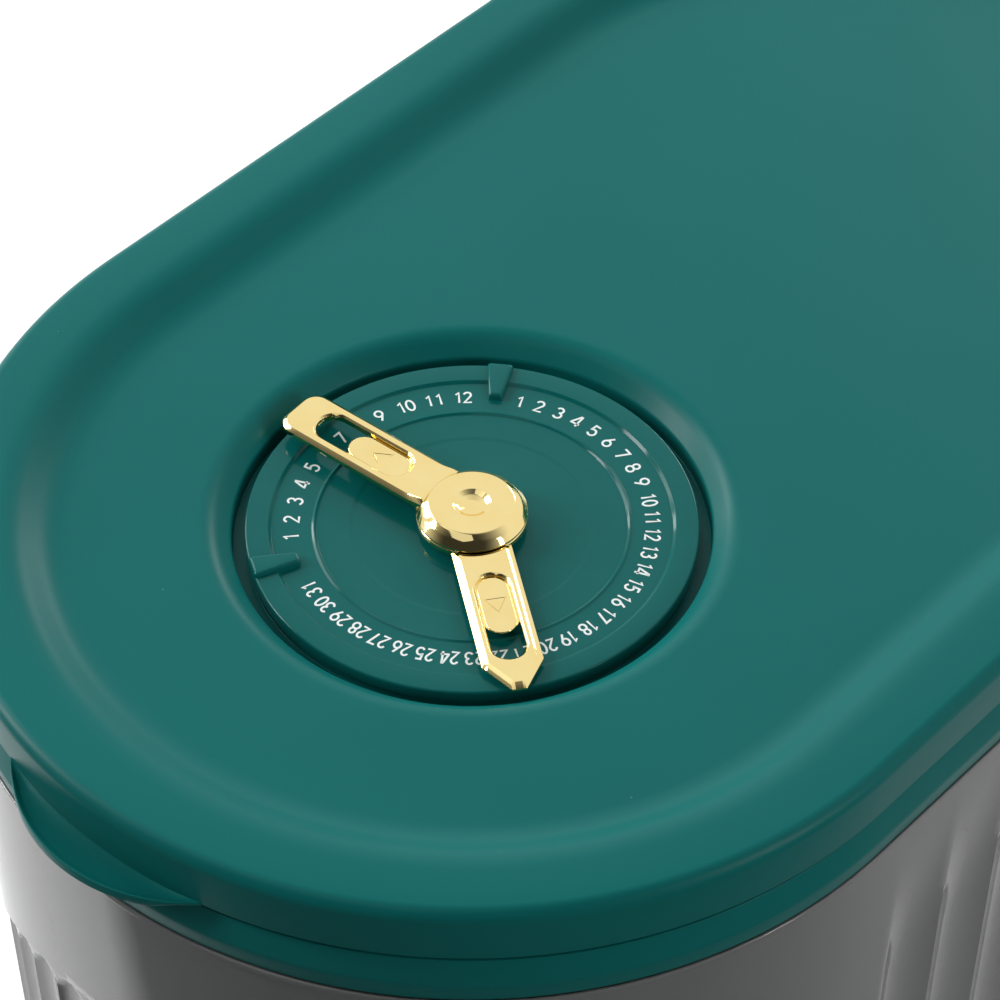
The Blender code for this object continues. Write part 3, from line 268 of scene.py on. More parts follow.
def mesh_piece(name: str, surfaces: list[Surface], sharp: float = 32.0) -> Object:
    """Make one object, at the origin, of closed surfaces.

    Args:
        name: the piece's name.
        surfaces: grids in millimetres.
        sharp: edges that turn by more than this many degrees stay sharp.

    Returns:
        The linked object, its doubles merged and its faces outwards.
    """
    faces: list[list[int]] = []
    start = 0
    for surface in surfaces:
        faces += surface.faces(start)
        start += surface.points.shape[0] * surface.points.shape[1]
    points = np.concatenate([surface.points.reshape(-1, 3) for surface in surfaces]) * MM
    mesh = bpy.data.meshes.new(name)
    mesh.from_pydata(points, [], faces)
    shape = bmesh.new()
    shape.from_mesh(mesh)
    bmesh.ops.remove_doubles(shape, verts=shape.verts, dist=1e-7)
    bmesh.ops.dissolve_degenerate(shape, edges=shape.edges, dist=1e-7)
    bmesh.ops.recalc_face_normals(shape, faces=shape.faces)
    shape.to_mesh(mesh)
    shape.free()
    mesh.shade_smooth()
    mesh.set_sharp_from_angle(angle=math.radians(sharp))
    piece = bpy.data.objects.new(name, mesh)
    bpy.context.scene.collection.objects.link(piece)
    return piece


def fit_out(
    piece: Object, finish: Material, body: Body, stands_for: tuple[str, ...] = ()
) -> None:
    """Give a piece its material and body, hide the CAD nodes it stands for, and report it."""
    piece.data.materials.clear()
    piece.data.materials.append(finish)
    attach(piece, body.value)
    if stands_for:
        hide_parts(*stands_for)
    LOG.info("%s: %d faces, %s", piece.name, len(piece.data.polygons), finish.name)


# Materials


def linear(hex_colour: str) -> tuple[float, float, float, float]:
    """Turn an sRGB hex colour into linear red, green, blue and an alpha of 1."""
    code = np.array([int(hex_colour[place : place + 2], 16) for place in (1, 3, 5)]) / 255.0
    light = np.where(code <= 0.04045, code / 12.92, ((code + 0.055) / 1.055) ** 2.4)
    return (*(float(value) for value in light), 1.0)


class Shades:
    """The node tree of a material or world: short ways to add nodes and join their results."""

    def __init__(self, owner: Any, main: str = "Principled BSDF") -> None:
        owner.use_nodes = True
        self.owner = owner
        self.tree = owner.node_tree
        self.main = self.tree.nodes[main]

    def feed(self, node: Node, inputs: dict) -> None:
        """Link a socket to, or set a plain value on, each named or numbered input."""
        for key, value in inputs.items():
            if isinstance(value, NodeSocket):
                self.tree.links.new(value, node.inputs[key])
            else:
                node.inputs[key].default_value = value

    def add(self, kind: str, inputs: dict | None = None, **settings: Any) -> Node:
        """Add one node.

        Args:
            kind: the node's type name, without ShaderNode.
            inputs: what goes into each input, by name or number: a socket or a plain value.
            settings: the node's own properties.

        Returns:
            The node.
        """
        made = self.tree.nodes.new(f"ShaderNode{kind}")
        for key, value in settings.items():
            setattr(made, key, value)
        self.feed(made, inputs or {})
        return made

    def where(self, kind: str = "Object") -> NodeSocket:
        """The coordinates of what is shaded."""
        return self.add("TexCoord").outputs[kind]

    def noise(self, size_mm: float, detail: float = 2.0) -> NodeSocket:
        """Noise of a real size, fixed to the piece."""
        inputs = {"Vector": self.where(), "Scale": 1.0 / (size_mm * MM), "Detail": detail}
        return self.add("TexNoise", inputs).outputs[0]

    def math(self, operation: str, first: Any, second: Any) -> NodeSocket:
        """What one operation gives for two values."""
        return self.add("Math", {0: first, 1: second}, operation=operation).outputs[0]

    def dot(self, first: Any, second: Any) -> NodeSocket:
        """How far the first vector reaches along the second."""
        return self.add("VectorMath", {0: first, 1: second}, operation="DOT_PRODUCT").outputs["Value"]

    def ramp(
        self, value: Any, start: float, end: float, low: float = 0.0, high: float = 1.0, **settings: Any
    ) -> NodeSocket:
        """Go from start to end while the value goes from low to high."""
        inputs = {0: value, 1: low, 2: high, 3: start, 4: end}
        return self.add("MapRange", inputs, **settings).outputs[0]

    def mix(self, share: Any, first: Any, second: Any) -> NodeSocket:
        """Mix two values."""
        return self.add("Mix", {0: share, 2: first, 3: second}, data_type="FLOAT").outputs[0]

    def blend(self, share: Any, first: Any, second: Any) -> NodeSocket:
        """Mix two colours, each a socket or an sRGB hex colour."""
        pair = [linear(colour) if isinstance(colour, str) else colour for colour in (first, second)]
        return self.add("Mix", {0: share, 6: pair[0], 7: pair[1]}, data_type="RGBA").outputs[2]

    def bump(self, height: NodeSocket, strength: float, depth_mm: float) -> NodeSocket:
        """A normal that follows a height map of a real depth."""
        inputs = {"Height": height, "Strength": strength, "Distance": depth_mm * MM}
        return self.add("Bump", inputs).outputs[0]

    def finish(self, inputs: dict) -> Any:
        """Feed the main node and return the owner."""
        self.feed(self.main, inputs)
        return self.owner


@dataclass(frozen=True)
class SatinPolypropylene:
    """Injection-moulded PP from a spark-eroded mould: soft, broad sheen over a deep colour."""

    name: str = "satin_green_polypropylene"
    colour: str = "#0A6663"
    deep: str = "#08605D"
    lint: str = "#B9CFCB"
    roughness: float = 0.34
    sheen: float = 0.12
    cloud_mm: float = 60.0
    grain_mm: float = 0.45  # a spark-eroded grain of 0.05 mm would not show
    dust_cell_mm: float = 9.0  # one speck of lint in some cells of this size
    dust_mm: float = 0.16
    dust_free: float = 0.55  # share of the cells without a speck
    dust_level: float = 0.35

    def make(self) -> Material:
        """Build the material: cloudy depth of colour, grain as bump, and rare specks of dust."""
        shades = Shades(bpy.data.materials.new(self.name))
        grain = shades.noise(self.grain_mm)
        spread = {"Vector": shades.where(), "Scale": 1.0 / (self.dust_cell_mm * MM)}
        cells = shades.add("TexVoronoi", spread).outputs
        size = self.dust_mm / self.dust_cell_mm
        near = shades.ramp(cells["Distance"], 1.0, 0.0, size * 0.6, size)
        pick = shades.add("SeparateColor", {"Color": cells["Color"]}).outputs[0]
        dust = shades.math("MULTIPLY", near, shades.math("GREATER_THAN", pick, self.dust_free))
        faint = shades.math("MULTIPLY", dust, self.dust_level)
        body = shades.blend(shades.noise(self.cloud_mm), self.deep, self.colour)
        return shades.finish({
            "Base Color": shades.blend(faint, body, self.lint),
            "Roughness": shades.ramp(grain, self.roughness - 0.03, self.roughness + 0.03),
            "Normal": shades.bump(grain, 0.10, 0.02),
            "IOR": 1.49,
            "Specular IOR Level": self.sheen,
        })


@dataclass(frozen=True)
class GlossAbs:
    """Injection-moulded ABS from a polished mould: mirror-like, with faint sink waves."""

    name: str = "gloss_green_abs"
    colour: str = "#0A605D"
    deep: str = "#085C59"
    roughness: float = 0.10
    sheen: float = 0.14
    wave_mm: float = 14.0
    smear_mm: float = 5.0

    def make(self) -> Material:
        """Build the material: one deep colour, slow waves as bump and faint smears in the gloss."""
        shades = Shades(bpy.data.materials.new(self.name))
        smear = shades.noise(self.smear_mm, 4.0)
        return shades.finish({
            "Base Color": shades.blend(smear, self.deep, self.colour),
            "Roughness": shades.ramp(smear, self.roughness - 0.03, self.roughness + 0.04),
            "Normal": shades.bump(shades.noise(self.wave_mm), 0.25, 0.05),
            "IOR": 1.53,
            "Specular IOR Level": self.sheen,
        })


@dataclass(frozen=True)
class SmokeStyrene:
    """Clear smoke-tinted styrene, polished mould: glossy grey that lets some light through."""

    name: str = "smoke_grey_styrene"
    colour: str = "#828383"
    deep: str = "#7D7E7E"
    roughness: float = 0.07
    clear: float = 0.25
    wave_mm: float = 35.0

    def make(self) -> Material:
        """Build the material: grey with a slight cloud, part clear, with moulding waves as bump."""
        shades = Shades(bpy.data.materials.new(self.name))
        wave = shades.noise(self.wave_mm)
        return shades.finish({
            "Base Color": shades.blend(wave, self.deep, self.colour),
            "Normal": shades.bump(wave, 0.25, 0.25),
            "Roughness": self.roughness,
            "Transmission Weight": self.clear,
            "IOR": 1.57,
        })


@dataclass(frozen=True)
class GoldPlating:
    """Vacuum-plated plastic under clear lacquer: a pale gold mirror that waves a little."""

    name: str = "gold_plated_abs"
    colour: str = "#F4E1A4"
    warm: str = "#F1D68C"
    roughness: float = 0.06
    wave_mm: float = 6.0

    def make(self) -> Material:
        """Build the material: a metal whose gloss and normal wander slightly."""
        shades = Shades(bpy.data.materials.new(self.name))
        wave = shades.noise(self.wave_mm)
        return shades.finish({
            "Base Color": shades.blend(wave, self.colour, self.warm),
            "Roughness": shades.ramp(wave, self.roughness - 0.02, self.roughness + 0.03),
            "Normal": shades.bump(wave, 0.3, 0.04),
            "Metallic": 1.0,
        })


@dataclass(frozen=True)
class PlainFinish:
    """A hidden or small part's finish: one colour that varies over a real grain size."""

    name: str
    colour: str
    second: str
    roughness: float
    grain_mm: float
    bump_mm: float = 0.01
    metallic: float = 0.0
    clear: float = 0.0

    def make(self) -> Material:
        """Build the material: two near colours and a bump from one noise of that grain size."""
        shades = Shades(bpy.data.materials.new(self.name))
        grain = shades.noise(self.grain_mm, 3.0)
        return shades.finish({
            "Base Color": shades.blend(grain, self.colour, self.second),
            "Roughness": shades.ramp(grain, self.roughness - 0.05, self.roughness + 0.05),
            "Normal": shades.bump(grain, 0.4, self.bump_mm),
            "Metallic": self.metallic,
            "Transmission Weight": self.clear,
        })


@dataclass(frozen=True)
class StudioCard:
    """Pale card under the bin: diffuse, with a little of its own light where rays see it."""

    name: str = "pale_studio_card"
    colour: str = "#E4E4E4"
    fibres: str = "#E6E6E6"
    fibre_mm: float = 2.0
    own_light: float = 0.24
    far_light: float = 0.85  # far from the lamps the card stays white up to the horizon
    far_run: tuple[float, float] = (0.5, 1.7)
    room_side: tuple[float, float, float] = (0.5, -0.85, 0.0)
    left_edge: tuple[float, float] = (0.155, 0.188)  # metres along room_side
    right_edge: tuple[float, float] = (-0.05, 0.2)
    right_level: float = 0.65
    middle: tuple[float, float] = (0.0, 0.15)  # where the left edge gives way to the right one
    beyond: float = 0.05
    bounce_loss: float = 0.55

    def make(self) -> Material:
        """Build the material: seen or through glass it is white, and it keeps shadows.

        Mirrors see it white too, up to its edge on the photographer's side, where the dark room
        begins: a sharp edge on the left and a soft one on the right. Past that edge it throws
        back less light.
        """
        shades = Shades(bpy.data.materials.new(self.name))
        where = shades.where()
        path = shades.add("LightPath").outputs
        seen = shades.math("MAXIMUM", path["Is Camera Ray"], path["Is Transmission Ray"])
        room = shades.dot(where, self.room_side)
        left = shades.ramp(room, 1.0, self.beyond, *self.left_edge)
        right = shades.ramp(room, self.right_level, self.beyond, *self.right_edge)
        across = shades.add("SeparateXYZ", {0: where}).outputs[0]
        card = shades.mix(shades.ramp(across, 0.0, 1.0, *self.middle), left, right)
        dull = shades.math("MULTIPLY", path["Is Diffuse Ray"], self.bounce_loss)
        ends = shades.math("MAXIMUM", path["Is Glossy Ray"], dull)
        kept = shades.mix(ends, 1.0, card)
        own = shades.math("MULTIPLY", shades.math("MAXIMUM", seen, path["Is Glossy Ray"]), kept)
        away = shades.add("VectorMath", {0: where}, operation="LENGTH").outputs["Value"]
        curve = {"interpolation_type": "SMOOTHSTEP"}
        glow = shades.ramp(away, self.own_light, self.far_light, *self.far_run, **curve)
        paper = shades.blend(shades.noise(self.fibre_mm), self.colour, self.fibres)
        return shades.finish({
            "Base Color": shades.blend(kept, "#000000", paper),
            "Emission Strength": shades.math("MULTIPLY", own, glow),
            "Emission Color": WHITE,
            "Roughness": 0.9,
            "Specular IOR Level": 0.0,
        })


def made(finish: Any) -> Any:
    """A dataclass field that holds this finish's material."""
    return field(default_factory=finish.make)


@dataclass
class Finishes:
    """Every material of the bin, made once."""

    satin: Material = made(SatinPolypropylene())
    gloss: Material = made(GlossAbs())
    smoke: Material = made(SmokeStyrene())
    gold: Material = made(GoldPlating())
    # Pad-printed ink: a flat white film
    ink: Material = made(PlainFinish("white_pad_print", "#DCE6E3", "#E6EEEC", 0.45, 0.4, 0.004))
    # Moulded silicone rubber: milky, slightly see-through and matt
    silicone: Material = made(
        PlainFinish("milky_silicone", "#C9CCCA", "#BFC3C1", 0.5, 3.0, 0.02, clear=0.15)
    )
    # Cold-headed steel: grey metal with faint marks
    steel: Material = made(
        PlainFinish("cold_headed_steel", "#BDBDBD", "#A9AAAB", 0.26, 0.6, metallic=1.0)
    )
    # Unfilled nylon: off-white and waxy
    nylon: Material = made(PlainFinish("natural_nylon", "#D9D8CF", "#E0DFD6", 0.42, 1.5))
    # Spun-bonded paper: white fibres, no gloss
    paper: Material = made(PlainFinish("spun_bonded_paper", "#E4E1D8", "#D2CFC6", 0.85, 0.7, 0.12))


# The bin's mouldings. A section's corners are rows of reach, height and radius.


@dataclass
class Tub:
    """Smoke-grey tub: neck, bead, plain upper band, and fluted panels under arched creases."""

    rim_z: float = 231.2
    bead_z: float = 224.3
    bead_height: float = 1.9
    bead_radius: float = 101.6
    bead_face: float = 1.1
    bead_slope: float = 0.4  # drop of the bead's underside
    bead_foot: float = 0.6  # of the hollow under the bead
    groove: tuple[float, float] = (101.0, 222.9)  # the slot between collar and bead
    neck_radius: float = 98.9
    neck_wall: float = 2.0
    top_radius: float = 101.0
    base_radius: float = 97.6
    base_z: float = 1.2
    base_run: float = 12.0  # how far the rounded base reaches in before it is flat
    corner: float = 6.0
    wall_inset: float = 4.6
    floor: float = 3.2
    crease_drop: float = 44.0
    arch_drop: float = 38.0
    foot: float = 18.0
    recess: float = 1.0
    crease_run: float = 1.2
    foot_run: float = 1.2  # over which the recess ends above the foot
    foot_gap: float = 1.0  # from the panel's foot to the flutes
    foot_arch: float = 0.6  # how much of their tops' arch the flutes' feet have
    end_flutes: int = 12
    end_pitch: float = math.radians(6.7)
    side_flutes: int = 6
    side_pitch: float = 17.6
    depth: float = 1.7
    flute_columns: int = 12
    flute_start: float = 2.6  # the flutes' arched tops below the crease
    flute_fade: float = 2.4
    side_lift: float = 43.0  # the side flutes start this far over the crease
    side_fade: float = 44.0  # and reach their depth over this run
    # Rows below the crease, and over the panels' foot, close together where the wall bends
    crease_rows: tuple[float, ...] = (
        0.3, 0.6, 0.9, 1.2, 1.8, 2.4, 3.0, 3.6, 4.2, 4.8, 5.4, 6.0, 6.8, 7.6, 8.6, 10, 12, 15, 20
    )
    foot_rows: tuple[float, ...] = (
        10, 8.5, 7.2, 6.2, 5.2, 4.4, 3.6, 2.8, 2.0, 1.2, 0.8, 0.4, 0.0, -0.6
    )

    def radius(self, height: Any) -> Any:
        """Half width of the plain wall: it widens evenly from the base to the bead."""
        share = (height - self.base_z) / (self.bead_z - self.bead_height - self.base_z)
        return self.base_radius + (self.top_radius - self.base_radius) * share

    def panel(self, flutes: int, margin: int) -> np.ndarray:
        """Panel share, and place across a flute from -1 to 1, of a panel's columns.

        Args:
            flutes: how many flutes the panel has.
            margin: plain columns on each side of it.

        Returns:
            (2, columns) values.
        """
        step = np.arange(flutes * self.flute_columns + 1)
        across = (step % self.flute_columns) / self.flute_columns * 2 - 1
        share = np.pad(0.0 * across + 1.0, margin)
        return np.stack([share, np.pad(across, margin, constant_values=-1.0)])

    def end_columns(self, centre_y: float, middle: float) -> np.ndarray:
        """Columns of a half circle about the angle middle.

        Returns:
            (7, n): angle, centre y, panel share, place across a flute, crease drop, half a
            flute's width in millimetres and how softly the flutes begin, from 0 to 1.
        """
        half = self.end_flutes * self.end_pitch / 2
        share = np.linspace(-1.0, 1.0, self.end_flutes * self.flute_columns + 1)
        edge = half + self.end_pitch / 10
        plain = np.linspace(-math.pi / 2, -edge, 13)
        drop = self.arch_drop * smooth((plain + math.pi / 2) / (math.pi / 2 - edge))
        angle = np.concatenate([plain, half * share, -plain[::-1]])
        drops = np.concatenate([drop, self.arch_drop * share**2, drop[::-1]])
        level = 0.0 * angle
        width = level + self.top_radius * self.end_pitch / 2
        panel = self.panel(self.end_flutes, len(plain))
        return np.stack([angle + middle, level + centre_y, *panel, drops, width, level])

    def side_columns(self, angle: float, start: float, end: float) -> np.ndarray:
        """Columns of a straight side, without its ends; the same seven rows as a half circle."""
        length = abs(end - start)
        margin = (length - self.side_flutes * self.side_pitch) / 2
        step = np.arange(self.side_flutes * self.flute_columns + 1)
        along = margin + self.side_pitch * step / self.flute_columns
        edge = margin - self.side_pitch / 12
        place = np.concatenate([[edge], along, [length - edge]])
        panel, across = self.panel(self.side_flutes, 1)
        level = 0.0 * place
        centre = start + np.sign(end - start) * place
        width = level + self.side_pitch / 2
        return np.stack([level + angle, centre, panel, across, level, width, panel])

    def outside(self) -> tuple[np.ndarray, Plan]:
        """Rows of the outside from under the bead down, and the plan they stand on.

        The wall's half width at a height loses the panel's recess, eased in over the crease, and
        the flute: depth times (1 - place squared), eased in below an arched top edge that hangs
        half a flute's width times (1 - root(1 - place squared)) lower at the flute's sides. The
        side flutes have no recess and no arched top: they fade in softly from higher up.
        """
        angle, centre_y, panel, across, drop, width, soft = np.concatenate([
            self.end_columns(FRONT_Y, -math.pi / 2),
            self.side_columns(0.0, FRONT_Y, REAR_Y),
            self.end_columns(REAR_Y, math.pi / 2),
            self.side_columns(math.pi, REAR_Y, FRONT_Y),
        ], 1)
        wall_top = self.bead_z - self.bead_height - self.bead_foot
        crease = self.bead_z - self.crease_drop - drop
        low = self.base_z + self.foot
        upper = wall_top + (crease - wall_top) * np.linspace(0.0, 1.0, 16)[:, None]
        near = crease - np.array(self.crease_rows)[:, None]
        foot = low + np.array(self.foot_rows)
        long = near[-1] + (foot[0] + 2.0 - near[-1]) * np.linspace(0.08, 1.0, 14)[:, None]
        feet = np.broadcast_to(foot[:, None], (len(foot), len(angle)))
        height = np.concatenate([upper, near, long, feet])
        hollow = np.clip(1.0 - across**2, 0.0, 1.0)
        arch = width * (1.0 - np.sqrt(hollow))
        rise = smooth((height - low) / self.foot_run)
        sunk = (1.0 - soft) * smooth((crease - height) / self.crease_run) * rise
        start = crease - self.flute_start - arch + soft * (self.side_lift + arch)
        below = smooth((start - height) / (self.flute_fade + soft * self.side_fade))
        over = smooth((height - low - self.foot_gap - self.foot_arch * arch) / self.flute_fade)
        reach = self.radius(height) - panel * (self.recess * sunk + self.depth * hollow * below * over)
        return np.stack([reach, height], 2), spine_plan(angle, centre_y)

    def build(self, finishes: Finishes) -> None:
        """Make the tub, one closed shell with its inside."""
        rows, plan = self.outside()
        wall_top = self.bead_z - self.bead_height - self.bead_foot
        face_z = self.bead_z - self.bead_face
        lip = self.neck_radius - self.neck_wall
        neck = rounded([
            (lip, self.rim_z, 0.0), (self.neck_radius, self.rim_z, 0.6),
            (self.neck_radius, self.groove[1], 0.2), (*self.groove, 0.2),
            (self.groove[0], self.bead_z, 0.1), (self.bead_radius, self.bead_z, 0.25),
            (self.bead_radius, face_z, 0.15), (self.top_radius, face_z - self.bead_slope, 0.15),
            (self.radius(wall_top), wall_top, 0.0),
        ])[:-1]
        base = self.radius(self.base_z)
        low = rounded([
            (base + 0.2, self.base_z + self.corner * 2, 0.0), (base, self.base_z, self.corner),
            (base - self.base_run, self.base_z, 0.0),
        ], 8)[1:]
        inner = self.base_radius - self.wall_inset
        floor_z = self.base_z + self.floor
        inside = rounded([
            (inner - self.base_run, floor_z, 0.0), (inner, floor_z, self.corner),
            (self.radius(self.rim_z) - self.wall_inset, self.rim_z, 0.4), (lip, self.rim_z, 0.0),
        ], 8)[:-1]
        points = np.concatenate([plan.carry(part) for part in (inside, neck, rows, low)])
        piece = mesh_piece("tub_shell", [Surface(points, capped=True)], 28.0)
        fit_out(piece, finishes.smoke, Body.BASE, ("tub",))


@dataclass
class Collar:
    """Green ring that snaps over the tub's mouth, its seal, and the lugs of the hinge."""

    low_z: float = 224.9
    under_z: float = 233.8
    top_z: float = 236.0
    top_radius: float = 98.6
    groove: tuple[float, float] = (100.3, 235.0)  # upper edge of the slope, under the lid's skirt
    low_radius: float = 101.3
    ridge: tuple[float, float] = (101.9, 229.4)
    ridge_round: float = 3.0
    mouth: float = 84.0
    plug_outer: float = 95.1
    plug_inner: float = 92.9
    plug_z: float = 226.0
    wall_inner: float = 99.5
    seal_reach: tuple[float, float] = (95.4, 98.9)
    seal_z: tuple[float, float] = (231.5, 233.5)
    barrel_half: float = 17.5
    lug_gap: float = 0.5
    lug_width: float = 9.0
    lug_root: float = 157.0
    eye: float = 4.0
    shoulder: float = 5.2

    def lug(self, low: float, high: float) -> Surface:
        """One lug: its side outline of a round eye with a square shoulder, carried along X."""
        y, z = HINGE
        eye = self.eye
        top = self.top_z - 0.1
        outline = rounded([
            (y + eye, z - eye, eye * 0.98), (y + eye, z + self.shoulder, 0.4),
            (y, z + self.shoulder, 0.4), (y - 0.6, top, 0.6),
            (self.lug_root, top, 0.0), (self.lug_root, z - eye, 0.0),
        ], 6, closed=True)
        return along_x(outline, low, high, 0.35)

    def build(self, finishes: Finishes) -> None:
        """Make the ring with its lugs, and the seal under it."""
        section = rounded([
            (self.low_radius, self.low_z, 0.25), (*self.ridge, self.ridge_round),
            (*self.groove, 0.2), (self.top_radius, self.groove[1], 0.2),
            (self.top_radius, self.top_z, 0.3), (self.mouth, self.top_z, 0.6),
            (self.mouth, self.under_z, 0.4), (self.plug_inner, self.under_z, 0.3),
            (self.plug_inner, self.plug_z, 0.3), (self.plug_outer, self.plug_z, 0.3),
            (self.plug_outer, self.under_z, 0.3), (self.wall_inner, self.under_z, 0.3),
            (self.wall_inner, self.low_z, 0.2),
        ], 5, closed=True)
        near = self.barrel_half + self.lug_gap
        far = near + self.lug_width
        lugs = [self.lug(near, far), self.lug(-far, -near)]
        ring = mesh_piece("collar_ring", [swept(section, 128, 12), *lugs])
        fit_out(ring, finishes.satin, Body.BASE, ("collar",))
        (inner, outer), (low, high) = self.seal_reach, self.seal_z
        corners = [(outer, low), (outer, high), (inner, high), (inner, low)]
        seal = mesh_piece("mouth_seal", [swept(rounded(with_radii(corners, 0.5), closed=True), 96, 8)])
        fit_out(seal, finishes.silicone, Body.BASE, ("collar_seal",))


def boss_places() -> list[tuple[float, float]]:
    """Centres of the six liner screws."""
    rows = (FRONT_Y - 12.0, (FRONT_Y + REAR_Y) / 2, REAR_Y + 12.0)
    return [(side, y) for y in rows for side in (-63.0, 63.0)]


@dataclass
class Lid:
    """Green lid: plateau with the dial's well, band, rim, skirt, finger tab and hinge barrel."""

    half_width: float = 102.0
    skirt_low: float = 101.1
    skirt_z: float = 236.5
    plateau_z: float = 245.0
    plateau_edge: float = 72.0  # where the rows round the dial give way to the rows of the plan
    rim_z: float = 249.7
    edge: float = 2.6
    band: tuple[float, float] = (80.7, 88.5)
    band_round: float = 12.0
    wall: float = 2.4
    skirt_wall: float = 2.0
    well_radius: float = 46.6
    well_mouth: float = 50.6
    well_run: float = 6.0
    well_wall: float = 2.0
    well_step: float = 2.2
    well_floor: float = 239.1
    well_under: float = 236.9
    well_lip: float = 6.0
    slot: tuple[float, float] = (43.6, 237.5)  # the deep slot round the dial disc
    shaft: float = 3.1
    tab_half: float = 25.0
    tab_reach: float = 108.5
    tab_rise: float = 0.8
    tab_dish: float = 0.8
    tab_drop: float = 1.4
    tab_least: float = 0.15  # reach at the tips
    tab_lip: tuple[float, float] = (0.9, 0.3)  # the rim's greatest width, and its share of the reach
    tab_full: float = 4.0  # reach from which the dish has its whole depth
    boss: tuple[float, float] = (1.5, 3.8)  # bore and outside
    boss_z: tuple[float, float] = (234.1, 243.4)
    barrel_half: float = 17.5
    barrel_radius: float = 4.0
    barrel_web: float = 6.2

    def shell(self) -> Surface:
        """The whole shell as one ring-shaped grid.

        Each column runs from the shaft hole over the well's floor and wall, across the plateau to
        the band, the rim and the skirt, and back inside. Its well rows stand round the dial at
        the direction in which its plateau edge is seen from there, so no face folds over.
        """
        band_in, band_out = self.band
        plan = stadium_plan(144, 34, band_in)
        edge = plan.centre + plan.out * band_in - np.array(DIAL_AXIS)
        dial = spokes(DIAL_AXIS, edge / np.linalg.norm(edge, axis=1, keepdims=True))
        far = self.well_mouth + self.well_run
        slot, slot_z = self.slot
        under = self.plateau_z - self.wall
        well = rounded([
            (self.shaft, self.well_floor, 0.0), (slot, self.well_floor, 0.2), (slot, slot_z, 0.2),
            (self.well_radius, slot_z, 0.3), (self.well_radius, self.well_floor + self.well_step, 1.2),
            (self.well_mouth, self.plateau_z, self.well_lip), (far, self.plateau_z, 0.0),
        ], 10)
        outside = rounded([
            (self.plateau_edge, self.plateau_z, 0.0), (band_in, self.plateau_z, self.band_round),
            (band_out, self.rim_z, self.band_round), (self.half_width, self.rim_z, self.edge),
            (self.skirt_low, self.skirt_z, 0.35),
            (self.skirt_low - self.skirt_wall, self.skirt_z, 0.35),
            (self.half_width - self.skirt_wall, self.rim_z - self.wall, 1.0),
            (band_out, self.rim_z - self.wall, 4.0), (band_in, under, 4.0),
            (self.plateau_edge, under, 0.0),
        ], 9)
        cup_radius = self.well_radius + self.well_wall
        cup = rounded([
            (far, under, 0.0), (self.well_mouth - 0.3, under, 1.0), (cup_radius, self.well_floor, 1.0),
            (cup_radius, self.well_under, 0.5), (self.shaft, self.well_under, 0.0),
        ])
        rows = [dial.carry(well), plan.carry(outside), dial.carry(cup)]
        return Surface(np.concatenate(rows), closed=True)

    def tab(self) -> Surface:
        """The crescent finger tab, seen as sections at angles about the dial's axis.

        Its front edge is an arc through both tips and the middle's reach. Its top is a dish
        between the skirt and a raised rim; dish, rim and overhang grow with the reach.
        """
        skirt = self.skirt_low
        sag = self.tab_reach - math.sqrt(skirt**2 - self.tab_half**2)
        bend = (self.tab_half**2 + sag**2) / (2 * sag)
        centre = self.tab_reach - bend
        angle = math.asin(self.tab_half / skirt) * np.linspace(-1.0, 1.0, 97)
        outer = centre * np.cos(angle) + np.sqrt(bend**2 - (centre * np.sin(angle)) ** 2)
        reach = np.maximum(outer - skirt, self.tab_least)
        end = skirt + reach
        root = skirt - self.skirt_wall / 2
        top = self.skirt_z + self.tab_rise
        lip = np.minimum(self.tab_lip[0], self.tab_lip[1] * reach)
        lip_run = 0.35 * lip
        inner = root + (end - lip_run - root) * np.linspace(0.0, 1.0, 25)[:, None]
        across = np.clip((inner - skirt) / reach, 0.0, 1.0)
        bowl = 1.0 - (across - 0.3) ** 2 / np.where(across > 0.3, 0.49, 0.3)
        depth = self.tab_dish * smooth(reach / self.tab_full)
        dish = depth * (bowl * smooth((end - inner) / (1.4 * lip)))
        turn = np.linspace(0.0, math.pi / 2, 6)[1:, None]
        edge = [end - lip_run * (1.0 - np.sin(turn)), top - lip_run * (1.0 - np.cos(turn))]
        low = self.skirt_z + 0.1 - self.tab_drop * smooth((reach - 2.0) / 2.8)
        step = skirt + 0.7 * np.minimum(1.0, reach / self.tab_drop)
        level = 0.0 * low
        base = level + self.skirt_z + 0.1
        under = [
            (end, low + 0.15), (end - 0.1 * lip, low), (np.minimum(step, end - 0.12 * lip), low),
            (level + skirt, base), (level + root, base),
        ]
        over = [np.stack([inner, top - dish], 2), np.stack(edge, 2)]
        rows = np.concatenate([*over, np.array(under).transpose(0, 2, 1)])
        out = np.stack([np.sin(angle), -np.cos(angle)], 1)
        return Surface(spokes(DIAL_AXIS, out).carry(rows).transpose(1, 0, 2), capped=True)

    def hinge_barrel(self) -> Surface:
        """The barrel and its web: their side outline carried along X."""
        y, z = HINGE
        eye = self.barrel_radius
        web, under = y - self.barrel_web, self.skirt_z + 0.1
        outline = rounded([
            (web, z + eye, 0.0), (web, under, 0.0), (y - eye, under, 0.3),
            (y - eye, z - eye, eye * 0.98), (y + eye, z - eye, eye * 0.98),
            (y + eye, z + eye, eye * 0.98),
        ], 8, closed=True)
        return along_x(outline, -self.barrel_half, self.barrel_half, 0.3)

    def build(self, finishes: Finishes) -> None:
        """Make the lid as one piece: shell, tab, barrel and the screws' bosses."""
        (bore, outside), (low, high) = self.boss, self.boss_z
        section = [(bore, low), (outside, low), (outside, high), (bore, high)]
        bosses = [turned(section, place, 32, closed=True) for place in boss_places()]
        parts = [self.shell(), self.tab(), self.hinge_barrel(), *bosses]
        fit_out(mesh_piece("lid_moulding", parts, 30.0), finishes.satin, Body.LID, ("lid_shell",))


